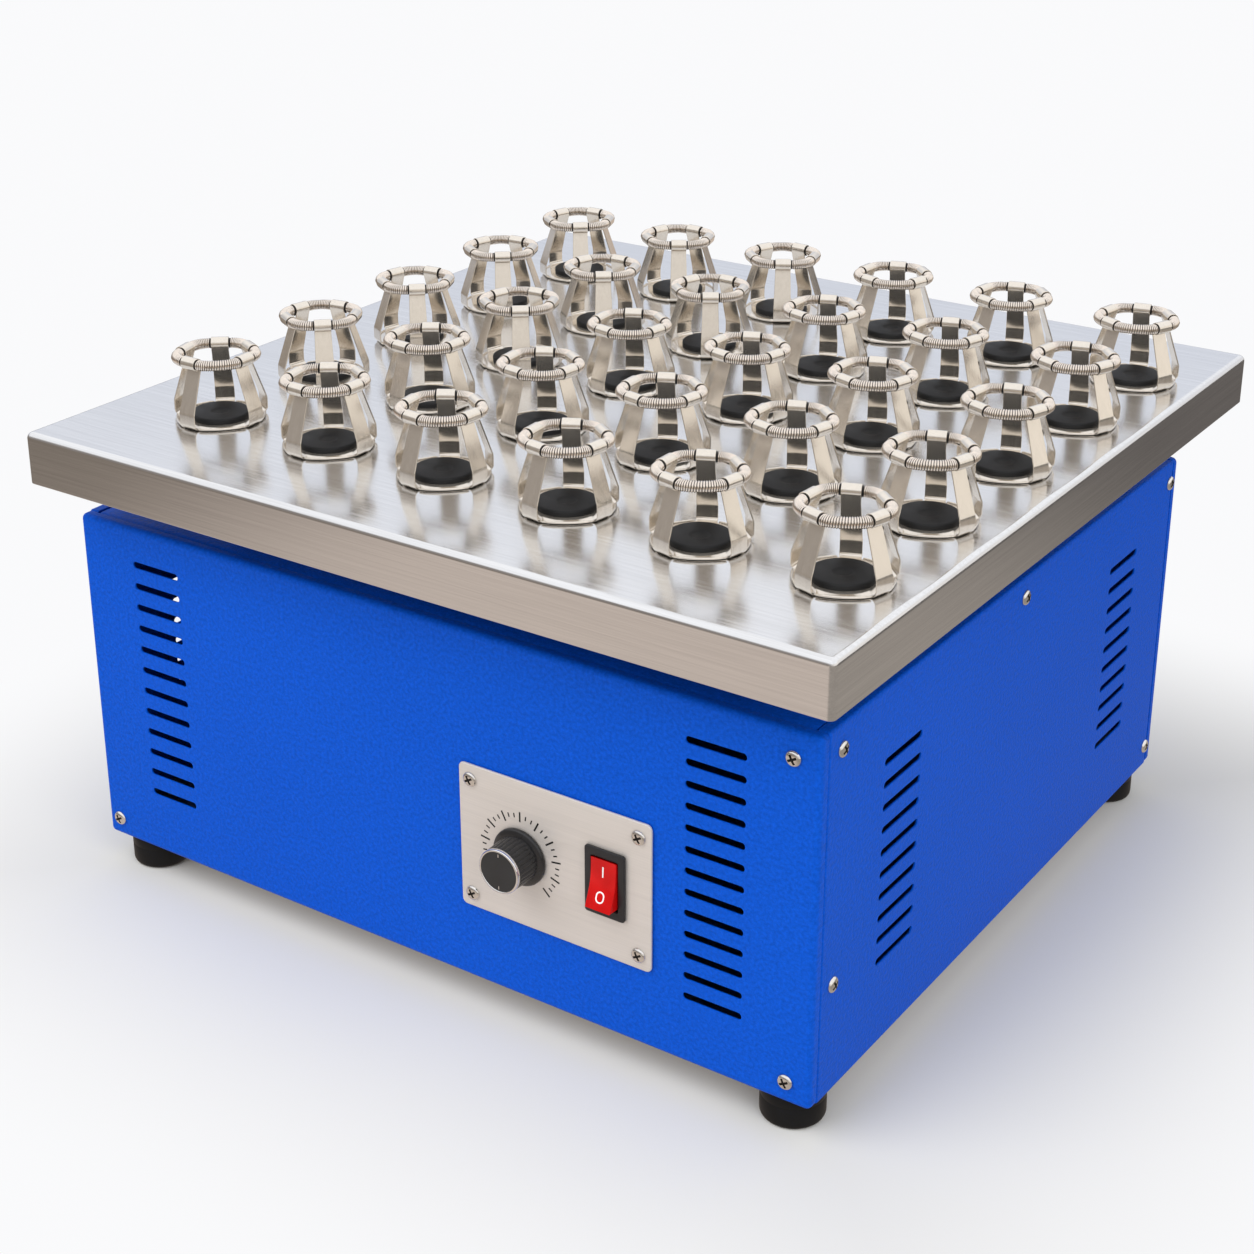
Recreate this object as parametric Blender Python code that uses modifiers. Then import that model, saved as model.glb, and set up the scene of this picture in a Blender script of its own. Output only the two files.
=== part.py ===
"""Rotary flask shaker: a bench cabinet whose platform orbits on five cranks under thirty flask clamps.

The origin is on the floor under the middle of the platform at rest, +X right, -Y front, +Z up. Metres.
"""

import math

import bmesh
import bpy
from mathutils import Euler, Matrix, Vector

# Fits
SEAT_GAP = 0.0003
RUNNING_GAP = 0.0003
SEAM_GAP = 0.0006
CUT_OVERRUN = 0.004
WELD_DISTANCE = 0.00001
SMOOTH_ANGLE = math.radians(35)

# Facets round a full turn
SMALL_FACETS = 10
ROUND_FACETS = 16
WHEEL_FACETS = 24
EDGE_FACETS = 2

# Platform tray, a stainless pan turned upside down
TRAY_WIDTH = 0.610
TRAY_DEPTH = 0.610
TRAY_HEIGHT = 0.036
TRAY_SHEET = 0.002
TRAY_EDGE_RADIUS = 0.0045
TRAY_CLEARANCE = 0.033

# Orbit of the platform, and the side it stands at when it is at rest
ORBIT_RADIUS = 0.0125
ORBIT_REST_ANGLE = math.radians(34)

# Cabinet of folded sheet
CABINET_WIDTH = 0.580
CABINET_DEPTH = 0.523
CABINET_HEIGHT = 0.248
PANEL_SHEET = 0.0015
PANEL_FOLD = 0.008
FACE_EDGE_RADIUS = 0.004
SIDE_EDGE_RADIUS = 0.002
DECK_SHEET = 0.003
BASE_SHEET = 0.002
FLANGE_HEIGHT = 0.020
FLANGE_EDGE_RADIUS = 0.003

# Vent slots, measured from the edges of the panel that they are cut in
VENT_HEIGHT = 0.0048
VENT_CHAMFER = 0.0016
FRONT_VENT_LENGTH = 0.041
FRONT_VENT_INSET = 0.048
FRONT_VENT_BOTTOM = 0.048
FRONT_VENT_TOP = 0.2215
LEFT_VENT_COUNT = 12
RIGHT_VENT_COUNT = 13
SIDE_VENT_LENGTH = 0.047
SIDE_VENT_FRONT_INSET = 0.077
SIDE_VENT_REAR_INSET = 0.068
SIDE_VENT_BOTTOM = 0.061
SIDE_VENT_TOP = 0.198
SIDE_VENT_COUNT = 10

# Rubber feet
FOOT_RADIUS = 0.0205
FOOT_HEIGHT = 0.024
FOOT_ROUNDING = 0.003
FOOT_INSET = 0.025

# Control plate, placed from the middle and the bottom of the front panel
PLATE_WIDTH = 0.144
PLATE_HEIGHT = 0.102
PLATE_THICKNESS = 0.002
PLATE_CORNER_RADIUS = 0.004
PLATE_EDGE_CHAMFER = 0.0008
PLATE_OFFSET = 0.1076
PLATE_MIDDLE_HEIGHT = 0.107

# Speed knob and the controller that its shaft turns, placed from the middle of the control plate
KNOB_OFFSET = -0.025
KNOB_DROP = 0.0015
KNOB_SKIRT_RADIUS = 0.0195
KNOB_SKIRT_HEIGHT = 0.003
KNOB_SKIRT_TAPER = 0.0012
KNOB_BODY_RADIUS = 0.0165
KNOB_BODY_TAPER = 0.0008
KNOB_BODY_HEIGHT = 0.022
KNOB_FLUTE_COUNT = 18
KNOB_FLUTE_DEPTH = 0.0009
KNOB_CAP_RADIUS = 0.0145
KNOB_CAP_HEIGHT = 0.0012
KNOB_LIFT = 0.0005
KNOB_SHAFT_RADIUS = 0.003
KNOB_SHAFT_LENGTH = 0.012
BUSH_RADIUS = 0.0048
BUSH_RECESS = 0.0003
CONTROLLER_RADIUS = 0.016
CONTROLLER_DEPTH = 0.022

# Rocker switch, placed from the middle of the control plate
SWITCH_OFFSET = 0.0395
SWITCH_RISE = 0.002
BEZEL_WIDTH = 0.029
BEZEL_HEIGHT = 0.046
BEZEL_THICKNESS = 0.0022
BEZEL_CORNER_RADIUS = 0.002
BEZEL_WALL = 0.0015
SWITCH_BODY_DEPTH = 0.020
ROCKER_WIDTH = 0.0214
ROCKER_HEIGHT = 0.036
ROCKER_LIP = 0.004
ROCKER_VALLEY = 0.002
ROCKER_BACK = 0.005
ROCKER_BACK_HEIGHT = 0.028
ROCKER_PIVOT_DEPTH = 0.001
ROCKER_TIP_GAP = 0.0006
ROCKER_POCKET_DEPTH = 0.010
ROCKER_TILT = math.radians(12)

# Mains inlet in the rear panel
INLET_FLANGE_WIDTH = 0.048
INLET_FLANGE_HEIGHT = 0.028
INLET_FLANGE_THICKNESS = 0.003
INLET_BODY_WIDTH = 0.0275
INLET_BODY_HEIGHT = 0.0205
INLET_BODY_DEPTH = 0.026
INLET_RECESS_WIDTH = 0.0242
INLET_RECESS_HEIGHT = 0.0168
INLET_RECESS_DEPTH = 0.0165
INLET_PIN_WIDTH = 0.002
INLET_PIN_HEIGHT = 0.004
INLET_PIN_LENGTH = 0.014
INLET_PIN_SPACING = 0.007
INLET_PIN_OFFSET = 0.002
INLET_SIDE_DISTANCE = 0.200
INLET_RISE = 0.060

# Main crank: spindle, web and eccentric pin
SPINDLE_RADIUS = 0.010
SPINDLE_DROP = 0.112
CRANK_PIN_RADIUS = 0.008
CRANK_WEB_RADIUS = 0.023
CRANK_WEB_THICKNESS = 0.010
CRANK_WEB_LIFT = 0.006
CRANK_PIN_TOP_GAP = 0.0005

# Idler cranks and their bearing bosses
IDLER_SPACING = 0.400
IDLER_SPINDLE_RADIUS = 0.006
IDLER_PIN_RADIUS = 0.005
IDLER_WEB_RADIUS = 0.0165
IDLER_WEB_THICKNESS = 0.008
IDLER_SPINDLE_DROP = 0.026
IDLER_BOSS_RADIUS = 0.014
IDLER_BOSS_DROP = 0.024

# Carriage under the tray
CARRIAGE_SIZE = 0.470
CARRIAGE_PLATE = 0.005
CARRIAGE_CORNER_RADIUS = 0.020
CARRIAGE_RIB_WIDTH = 0.010
CARRIAGE_RIB_HEIGHT = 0.014
HUB_RADIUS = 0.026
HUB_HEIGHT = 0.040
CORNER_HUB_RADIUS = 0.017
CORNER_HUB_HEIGHT = 0.038
HUB_ROOF = 0.004

# Main bearing housing, bolted under the deck
HOUSING_NOSE_RADIUS = 0.020
HOUSING_NOSE_RISE = 0.003
HOUSING_FLANGE_RADIUS = 0.045
HOUSING_FLANGE_THICKNESS = 0.008
HOUSING_BODY_RADIUS = 0.025
HOUSING_LENGTH = 0.046

# Belt drive
PULLEY_RADIUS = 0.070
PULLEY_HUB_RADIUS = 0.020
PULLEY_WEB_THICKNESS = 0.006
PULLEY_WIDTH = 0.016
PULLEY_RIM_WIDTH = 0.005
PULLEY_DROP = 0.004
GROOVE_DEPTH = 0.008
GROOVE_MOUTH = 0.012
GROOVE_FLOOR = 0.0095
MOTOR_PULLEY_RADIUS = 0.020
BELT_WIDTH = 0.008
BELT_THICKNESS = 0.006
BELT_CLEARANCE = 0.0004

# Counterweight opposite the crank pin
COUNTERWEIGHT_RADIUS = 0.085
COUNTERWEIGHT_THICKNESS = 0.018
COUNTERWEIGHT_HUB_RADIUS = 0.022
COUNTERWEIGHT_DROP = 0.006

# Motor on its slotted plate
MOTOR_DISTANCE = 0.185
MOTOR_ANGLE = math.radians(148)
MOTOR_RADIUS = 0.044
MOTOR_BELL_RADIUS = 0.039
MOTOR_BELL_HEIGHT = 0.018
MOTOR_SHAFT_RADIUS = 0.006
MOTOR_SHAFT_ENTRY = 0.012
MOTOR_SHAFT_REACH = 0.006
MOTOR_PLATE_WIDTH = 0.150
MOTOR_PLATE_DEPTH = 0.120
MOTOR_PLATE_THICKNESS = 0.004
MOTOR_SLOT_LENGTH = 0.030
MOTOR_SLOT_WIDTH = 0.007
MOTOR_SLOT_INSET = 0.012

# Spring flask clamps
CLAMP_COLUMN_COUNT = 6
CLAMP_ROW_COUNT = 5
CLAMP_PITCH_X = 0.095
CLAMP_PITCH_Y = 0.104
CLAMP_GRID_MIDDLE = (0.020, -0.003)
CLAMP_TURN = math.radians(29)
CLAMP_TURN_PER_COLUMN = math.radians(3.4)
CLAMP_TURN_PER_ROW = math.radians(-2)
CLAMP_LEG_COUNT = 5
CLAMP_BASE_RADIUS = 0.0315
CLAMP_BASE_SHEET = 0.0010
CLAMP_PAD_RADIUS = 0.0190
CLAMP_PAD_HEIGHT = 0.0038
CLAMP_LEG_WIDTH = 0.0118
CLAMP_LEG_SHEET = 0.0012
CLAMP_LEG_ROOT_RADIUS = 0.0302
CLAMP_LEG_KNEE_HEIGHT = 0.0090
CLAMP_RING_RADIUS = 0.0232
CLAMP_RING_TUBE = 0.0032
CLAMP_RING_HEIGHT = 0.0455
CLAMP_RING_SECTION_COUNT = 2
CLAMP_RING_FACETS = 5

# Places that follow from the sizes above
ORBIT_SIDE = Vector((math.cos(ORBIT_REST_ANGLE), math.sin(ORBIT_REST_ANGLE), 0))
CABINET_MIDDLE = -ORBIT_RADIUS * ORBIT_SIDE
CABINET_BOTTOM = FOOT_HEIGHT + SEAT_GAP
CABINET_TOP = CABINET_BOTTOM + CABINET_HEIGHT
TRAY_TOP = CABINET_TOP + TRAY_CLEARANCE + TRAY_HEIGHT
CARRIAGE_TOP = TRAY_TOP - TRAY_SHEET - SEAT_GAP
CARRIAGE_UNDERSIDE = CARRIAGE_TOP - CARRIAGE_PLATE
FRONT_FACE = CABINET_MIDDLE.y - CABINET_DEPTH / 2
REAR_FACE = CABINET_MIDDLE.y + CABINET_DEPTH / 2
PLATE_FACE = FRONT_FACE - SEAT_GAP - PLATE_THICKNESS
PLATE_MIDDLE_X = CABINET_MIDDLE.x + PLATE_OFFSET
PLATE_MIDDLE_Z = CABINET_BOTTOM + PLATE_MIDDLE_HEIGHT
KNOB_X = PLATE_MIDDLE_X + KNOB_OFFSET
KNOB_Z = PLATE_MIDDLE_Z - KNOB_DROP
SWITCH_X = PLATE_MIDDLE_X + SWITCH_OFFSET
SWITCH_Z = PLATE_MIDDLE_Z + SWITCH_RISE
CLAMP_SEAT = TRAY_TOP + SEAT_GAP
CRANK_WEB_BOTTOM = CABINET_TOP + CRANK_WEB_LIFT
CRANK_PIN_TOP = CARRIAGE_UNDERSIDE - HUB_ROOF - CRANK_PIN_TOP_GAP
HOUSING_FLANGE_TOP = CABINET_TOP - DECK_SHEET - SEAT_GAP
HOUSING_BOTTOM = HOUSING_FLANGE_TOP - HOUSING_LENGTH
PULLEY_MIDDLE = HOUSING_BOTTOM - PULLEY_DROP - PULLEY_WIDTH / 2
COUNTERWEIGHT_TOP = PULLEY_MIDDLE - PULLEY_WIDTH / 2 - COUNTERWEIGHT_DROP
MOTOR_PLATE_BOTTOM = CABINET_BOTTOM + BASE_SHEET + SEAT_GAP
MOTOR_BOTTOM = MOTOR_PLATE_BOTTOM + MOTOR_PLATE_THICKNESS + SEAT_GAP
MOTOR_TOP = PULLEY_MIDDLE - PULLEY_WIDTH / 2 - MOTOR_SHAFT_REACH
MOTOR_SIDE = Vector((math.cos(MOTOR_ANGLE), math.sin(MOTOR_ANGLE), 0))
MOTOR_MIDDLE = CABINET_MIDDLE + MOTOR_DISTANCE * MOTOR_SIDE


def clear_objects():
    """Removes every object of the scene."""
    for old in list(bpy.data.objects):
        bpy.data.objects.remove(old)


def new_collection(name):
    """Adds a collection to the scene."""
    group = bpy.data.collections.new(name)
    bpy.context.scene.collection.children.link(group)
    return group


def material(name, colour, roughness, metallic):
    """Makes a plain Principled material."""
    made = bpy.data.materials.new(name)
    made.use_nodes = True
    shader = made.node_tree.nodes["Principled BSDF"]
    shader.inputs["Base Color"].default_value = (*colour, 1)
    shader.inputs["Roughness"].default_value = roughness
    shader.inputs["Metallic"].default_value = metallic
    return made


def place_in(group, name, mesh, location=(0, 0, 0)):
    """Adds an object of this mesh to a collection."""
    made = bpy.data.objects.new(name, mesh)
    made.location = location
    group.objects.link(made)
    return made


def piece(name, mesh, location, finish):
    """Adds a part of the shaker, shaded smooth over its round faces."""
    made = place_in(parts, name, mesh, location)
    mesh.materials.append(finish)
    mesh.shade_smooth()
    mesh.set_sharp_from_angle(angle=SMOOTH_ANGLE)
    return made


def tool(mesh, owner, offset=(0, 0, 0), turn=(0, 0, 0)):
    """Adds a guide solid that follows the piece it cuts or fills."""
    made = place_in(cutters, owner.name + "_tool", mesh, offset)
    made.rotation_euler = turn
    made.parent = owner
    made.hide_render = True
    made.display_type = "WIRE"
    return made


def combine(owner, operation, mesh, offset=(0, 0, 0), turn=(0, 0, 0)):
    """Cuts or joins a guide solid with a piece."""
    step = owner.modifiers.new(operation.lower(), "BOOLEAN")
    step.operation = operation
    step.solver = "EXACT"
    step.object = tool(mesh, owner, offset, turn)


def cut(owner, mesh, offset=(0, 0, 0), turn=(0, 0, 0)):
    """Takes a solid away from a piece."""
    combine(owner, "DIFFERENCE", mesh, offset, turn)


def add(owner, mesh, offset=(0, 0, 0), turn=(0, 0, 0)):
    """Joins a solid to a piece."""
    combine(owner, "UNION", mesh, offset, turn)


def mesh_from(shape, name):
    """Turns a bmesh into a mesh and frees it."""
    made = bpy.data.meshes.new(name)
    shape.to_mesh(made)
    shape.free()
    return made


def settled_mesh(owner):
    """Gives the mesh that an object has after its modifiers."""
    bpy.context.view_layer.update()
    evaluated = owner.evaluated_get(bpy.context.evaluated_depsgraph_get())
    return bpy.data.meshes.new_from_object(evaluated)


def along(edge, axis):
    """Tells whether an edge runs along an axis, given by number."""
    run = edge.verts[1].co - edge.verts[0].co
    return abs(run[axis]) > run.length / 2


def block(size, radius=0, axis=2, facets=EDGE_FACETS):
    """A box about its middle, whose edges along one axis may be rounded."""
    shape = bmesh.new()
    bmesh.ops.create_cube(shape, size=1, matrix=Matrix.Diagonal((*size, 1)))
    if radius:
        edges = [edge for edge in shape.edges if along(edge, axis)]
        bmesh.ops.bevel(shape, geom=edges, offset=radius, segments=facets, profile=0.5, affect="EDGES")
    return mesh_from(shape, "block")


def rod(radius, length, facets=ROUND_FACETS):
    """A cylinder along Z about its middle."""
    shape = bmesh.new()
    bmesh.ops.create_cone(
        shape, cap_ends=True, segments=facets, radius1=radius, radius2=radius, depth=length)
    return mesh_from(shape, "rod")


def bore_radius(shaft_radius, facets=ROUND_FACETS):
    """The radius of a faceted hole that a shaft turns in with the running gap."""
    return (shaft_radius + RUNNING_GAP) / math.cos(math.pi / facets)


def turned(name, profile, location, finish, facets=ROUND_FACETS, closed=False):
    """A piece turned about Z from (radius, height) points that run down its outer side."""
    mesh = bpy.data.meshes.new(name)
    edges = [(index, index + 1) for index in range(len(profile) - 1)]
    if closed:
        edges.append((len(profile) - 1, 0))
    mesh.from_pydata([(radius, 0, height) for radius, height in profile], edges, [])
    made = piece(name, mesh, location, finish)
    lathe = made.modifiers.new("lathe", "SCREW")
    lathe.steps = facets
    lathe.render_steps = facets
    lathe.use_merge_vertices = True
    lathe.merge_threshold = WELD_DISTANCE
    return made


def pan(name, width, depth, height, sheet, radius, location, finish, turn=(0, 0, 0)):
    """A folded pan about the middle of its outer face, which looks up: open below, with rounded edges."""
    shape = bmesh.new()
    middle = Matrix.Translation((0, 0, -height / 2))
    bmesh.ops.create_cube(shape, size=1, matrix=middle @ Matrix.Diagonal((width, depth, height, 1)))
    shape.faces.ensure_lookup_table()
    floor = [face for face in shape.faces if face.normal.z < -0.5]
    bmesh.ops.delete(shape, geom=floor, context="FACES_ONLY")
    folds = [edge for edge in shape.edges if len(edge.link_faces) > 1]
    bmesh.ops.bevel(
        shape, geom=folds, offset=radius, segments=EDGE_FACETS, profile=0.5, affect="EDGES")
    made = piece(name, mesh_from(shape, name), location, finish)
    made.rotation_euler = turn
    wall = made.modifiers.new("sheet", "SOLIDIFY")
    wall.thickness = sheet
    wall.offset = -1
    wall.use_even_offset = True
    return made


def outline_mesh(name, outlines, thickness):
    """A flat solid about its mid-plane from closed outlines, of which later ones are holes."""
    curve = bpy.data.curves.new(name, "CURVE")
    curve.dimensions = "2D"
    curve.fill_mode = "BOTH"
    curve.extrude = thickness / 2
    for outline in outlines:
        spline = curve.splines.new("POLY")
        spline.points.add(len(outline) - 1)
        for point, (x, y) in zip(spline.points, outline):
            point.co = (x, y, 0, 1)
        spline.use_cyclic_u = True
    guide = place_in(cutters, name + "_outline", curve)
    mesh = settled_mesh(guide)
    bpy.data.objects.remove(guide)
    shape = bmesh.new()
    shape.from_mesh(mesh)
    bmesh.ops.remove_doubles(shape, verts=shape.verts, dist=WELD_DISTANCE)
    bmesh.ops.recalc_face_normals(shape, faces=shape.faces)
    return mesh_from(shape, name)


def arc(middle, radius, start, end, steps):
    """Points along an arc, both ends included."""
    angles = [start + (end - start) * step / steps for step in range(steps + 1)]
    return [
        (middle[0] + radius * math.cos(angle), middle[1] + radius * math.sin(angle))
        for angle in angles]


def vent_column(count, length, bottom, top, sheet):
    """Cutters for a column of slots about the column's middle, cut along Z, with the column along Y."""
    shape = bmesh.new()
    pitch = (top - bottom) / (count - 1)
    for index in range(count):
        rise = Matrix.Translation((0, (index - (count - 1) / 2) * pitch, 0))
        size = Matrix.Diagonal((length, VENT_HEIGHT, sheet + CUT_OVERRUN, 1))
        bmesh.ops.create_cube(shape, size=1, matrix=rise @ size)
    edges = [edge for edge in shape.edges if along(edge, 2)]
    bmesh.ops.bevel(shape, geom=edges, offset=VENT_CHAMFER, segments=1, profile=0.5, affect="EDGES")
    return mesh_from(shape, "vents")


def make_tray():
    """The stainless platform."""
    return pan(
        "platform_tray", TRAY_WIDTH, TRAY_DEPTH, TRAY_HEIGHT, TRAY_SHEET, TRAY_EDGE_RADIUS,
        (0, 0, TRAY_TOP), STAINLESS)


def corner_signs():
    """The four corners, from the front left one round to the rear left one."""
    return ((-1, -1), (1, -1), (1, 1), (-1, 1))


def make_carriage():
    """The plate under the tray, with a hub for each crank pin and ribs between them."""
    made = piece(
        "carriage",
        block((CARRIAGE_SIZE, CARRIAGE_SIZE, CARRIAGE_PLATE), CARRIAGE_CORNER_RADIUS),
        (0, 0, CARRIAGE_TOP - CARRIAGE_PLATE / 2),
        ALUMINIUM)
    half_plate = CARRIAGE_PLATE / 2
    sunk = half_plate
    rib_length = math.hypot(IDLER_SPACING, IDLER_SPACING)
    rib_height = CARRIAGE_RIB_HEIGHT + sunk
    for side in (-1, 1):
        add(made, block((rib_length, CARRIAGE_RIB_WIDTH, rib_height)),
            (0, 0, -rib_height / 2), (0, 0, side * math.pi / 4))
    hubs = [(0, 0, ROUND_FACETS, HUB_RADIUS, HUB_HEIGHT, CRANK_PIN_RADIUS)]
    for x, y in corner_signs():
        hubs.append((x * IDLER_SPACING / 2, y * IDLER_SPACING / 2, SMALL_FACETS, CORNER_HUB_RADIUS,
                     CORNER_HUB_HEIGHT, IDLER_PIN_RADIUS))
    for x, y, facets, radius, height, pin_radius in hubs:
        add(made, rod(radius, height + sunk, facets), (x, y, -(height + sunk) / 2))
        bore_depth = height - HUB_ROOF + CUT_OVERRUN
        bore_middle = -half_plate - height - CUT_OVERRUN + bore_depth / 2
        cut(made, rod(bore_radius(pin_radius, facets), bore_depth, facets), (x, y, bore_middle))
    return made


def make_crank(name, axis, facets, spindle_radius, spindle_bottom, web_radius, web_thickness, pin_radius):
    """A crank about its spindle's axis: spindle below, web, and eccentric pin above."""
    web_middle = CRANK_WEB_BOTTOM + web_thickness / 2
    made = piece(name, rod(spindle_radius, web_middle - spindle_bottom, facets),
                 (axis.x, axis.y, (web_middle + spindle_bottom) / 2), STEEL)
    towards_pin = -CABINET_MIDDLE
    up = web_middle - made.location.z
    add(made, rod(web_radius, web_thickness, facets), (towards_pin.x / 2, towards_pin.y / 2, up))
    pin_length = CRANK_PIN_TOP - web_middle
    add(made, rod(pin_radius, pin_length, facets), (towards_pin.x, towards_pin.y, up + pin_length / 2))
    return made


def make_cranks():
    """The driven crank in the middle and the four idlers that keep the platform from turning."""
    make_crank(
        "main_crank", CABINET_MIDDLE, ROUND_FACETS, SPINDLE_RADIUS, CABINET_TOP - SPINDLE_DROP,
        CRANK_WEB_RADIUS, CRANK_WEB_THICKNESS, CRANK_PIN_RADIUS)
    for number, (x, y) in enumerate(corner_signs(), 1):
        axis = CABINET_MIDDLE + Vector((x, y, 0)) * IDLER_SPACING / 2
        make_crank(
            "idler_crank_%d" % number, axis, SMALL_FACETS, IDLER_SPINDLE_RADIUS,
            CABINET_TOP - IDLER_SPINDLE_DROP, IDLER_WEB_RADIUS, IDLER_WEB_THICKNESS, IDLER_PIN_RADIUS)


def make_bearing_housing():
    """The turned housing under the deck that the main spindle runs in."""
    bore = bore_radius(SPINDLE_RADIUS)
    flange_bottom = HOUSING_FLANGE_TOP - HOUSING_FLANGE_THICKNESS
    nose_top = CABINET_TOP + HOUSING_NOSE_RISE
    profile = [
        (bore, nose_top),
        (HOUSING_NOSE_RADIUS, nose_top),
        (HOUSING_NOSE_RADIUS, HOUSING_FLANGE_TOP),
        (HOUSING_FLANGE_RADIUS, HOUSING_FLANGE_TOP),
        (HOUSING_FLANGE_RADIUS, flange_bottom),
        (HOUSING_BODY_RADIUS, flange_bottom),
        (HOUSING_BODY_RADIUS, HOUSING_BOTTOM),
        (bore, HOUSING_BOTTOM)]
    return turned("main_bearing_housing", profile, CABINET_MIDDLE, CAST_IRON, closed=True)


def groove_profile(radius, middle):
    """The outer side of a V-belt pulley, from its top edge to its bottom edge."""
    floor = radius - GROOVE_DEPTH
    return [
        (radius, middle + PULLEY_WIDTH / 2),
        (radius, middle + GROOVE_MOUTH / 2),
        (floor, middle + GROOVE_FLOOR / 2),
        (floor, middle - GROOVE_FLOOR / 2),
        (radius, middle - GROOVE_MOUTH / 2),
        (radius, middle - PULLEY_WIDTH / 2)]


def make_drive_pulley():
    """The large pulley on the main spindle: hub, thin web and grooved rim."""
    bore = (SPINDLE_RADIUS + SEAT_GAP) / math.cos(math.pi / ROUND_FACETS)
    rim = PULLEY_RADIUS - GROOVE_DEPTH - PULLEY_RIM_WIDTH
    top = PULLEY_MIDDLE + PULLEY_WIDTH / 2
    bottom = PULLEY_MIDDLE - PULLEY_WIDTH / 2
    web_top = PULLEY_MIDDLE + PULLEY_WEB_THICKNESS / 2
    web_bottom = PULLEY_MIDDLE - PULLEY_WEB_THICKNESS / 2
    profile = [(bore, top), (PULLEY_HUB_RADIUS, top), (PULLEY_HUB_RADIUS, web_top)]
    profile += [(rim, web_top), (rim, top)]
    profile += groove_profile(PULLEY_RADIUS, PULLEY_MIDDLE)
    profile += [(rim, bottom), (rim, web_bottom), (PULLEY_HUB_RADIUS, web_bottom)]
    profile += [(PULLEY_HUB_RADIUS, bottom), (bore, bottom)]
    return turned("drive_pulley", profile, CABINET_MIDDLE, ALUMINIUM, closed=True)


def make_motor_pulley():
    """The small pulley with the motor's shaft, which dips into the motor."""
    top = PULLEY_MIDDLE + PULLEY_WIDTH / 2
    shaft_bottom = MOTOR_TOP - MOTOR_SHAFT_ENTRY
    profile = [(0, top)]
    profile += groove_profile(MOTOR_PULLEY_RADIUS, PULLEY_MIDDLE)
    profile += [
        (MOTOR_SHAFT_RADIUS, PULLEY_MIDDLE - PULLEY_WIDTH / 2),
        (MOTOR_SHAFT_RADIUS, shaft_bottom),
        (0, shaft_bottom)]
    return turned("motor_pulley", profile, MOTOR_MIDDLE, ALUMINIUM)


def belt_outline(clear):
    """The belt's line round both pulleys, clear of their groove floors, drawn about the spindle."""
    big = PULLEY_RADIUS - GROOVE_DEPTH + clear
    small = MOTOR_PULLEY_RADIUS - GROOVE_DEPTH + clear
    lean = math.acos((big - small) / MOTOR_DISTANCE)
    away = MOTOR_MIDDLE - CABINET_MIDDLE
    turns = 2 * math.pi
    wide = arc((0, 0), big, MOTOR_ANGLE + lean, MOTOR_ANGLE - lean + turns, ROUND_FACETS)
    narrow = arc((away.x, away.y), small, MOTOR_ANGLE - lean, MOTOR_ANGLE + lean, SMALL_FACETS)
    return wide + narrow


def make_belt():
    """The V-belt as a closed loop round both pulleys."""
    floor = PULLEY_RADIUS - GROOVE_DEPTH
    inner = BELT_CLEARANCE + floor * (1 / math.cos(math.pi / ROUND_FACETS) - 1)
    loops = [belt_outline(inner + BELT_THICKNESS), belt_outline(inner)]
    place = (CABINET_MIDDLE.x, CABINET_MIDDLE.y, PULLEY_MIDDLE)
    return piece("belt", outline_mesh("belt", loops, BELT_WIDTH), place, RUBBER)


def make_counterweight():
    """The half disc on the spindle that balances the platform."""
    bore = (SPINDLE_RADIUS + SEAT_GAP) / math.cos(math.pi / ROUND_FACETS)
    half_disc = arc((0, 0), COUNTERWEIGHT_RADIUS, math.pi / 2, math.pi * 3 / 2, ROUND_FACETS // 2)
    middle = COUNTERWEIGHT_TOP - COUNTERWEIGHT_THICKNESS / 2
    made = piece("counterweight", outline_mesh("counterweight", [half_disc], COUNTERWEIGHT_THICKNESS),
                 (CABINET_MIDDLE.x, CABINET_MIDDLE.y, middle), CAST_IRON)
    made.rotation_euler = (0, 0, ORBIT_REST_ANGLE)
    add(made, rod(COUNTERWEIGHT_HUB_RADIUS, COUNTERWEIGHT_THICKNESS + CUT_OVERRUN))
    cut(made, rod(bore, COUNTERWEIGHT_THICKNESS + CUT_OVERRUN * 2))
    return made


def make_motor():
    """The upright motor, with a blind seat for its shaft."""
    seat = bore_radius(MOTOR_SHAFT_RADIUS)
    seat_floor = MOTOR_TOP - MOTOR_SHAFT_ENTRY - RUNNING_GAP
    profile = [
        (0, seat_floor),
        (seat, seat_floor),
        (seat, MOTOR_TOP),
        (MOTOR_BELL_RADIUS, MOTOR_TOP),
        (MOTOR_BELL_RADIUS, MOTOR_TOP - MOTOR_BELL_HEIGHT),
        (MOTOR_RADIUS, MOTOR_TOP - MOTOR_BELL_HEIGHT),
        (MOTOR_RADIUS, MOTOR_BOTTOM + MOTOR_BELL_HEIGHT),
        (MOTOR_BELL_RADIUS, MOTOR_BOTTOM + MOTOR_BELL_HEIGHT),
        (MOTOR_BELL_RADIUS, MOTOR_BOTTOM),
        (0, MOTOR_BOTTOM)]
    return turned("motor", profile, MOTOR_MIDDLE, DARK_PAINT)


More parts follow.
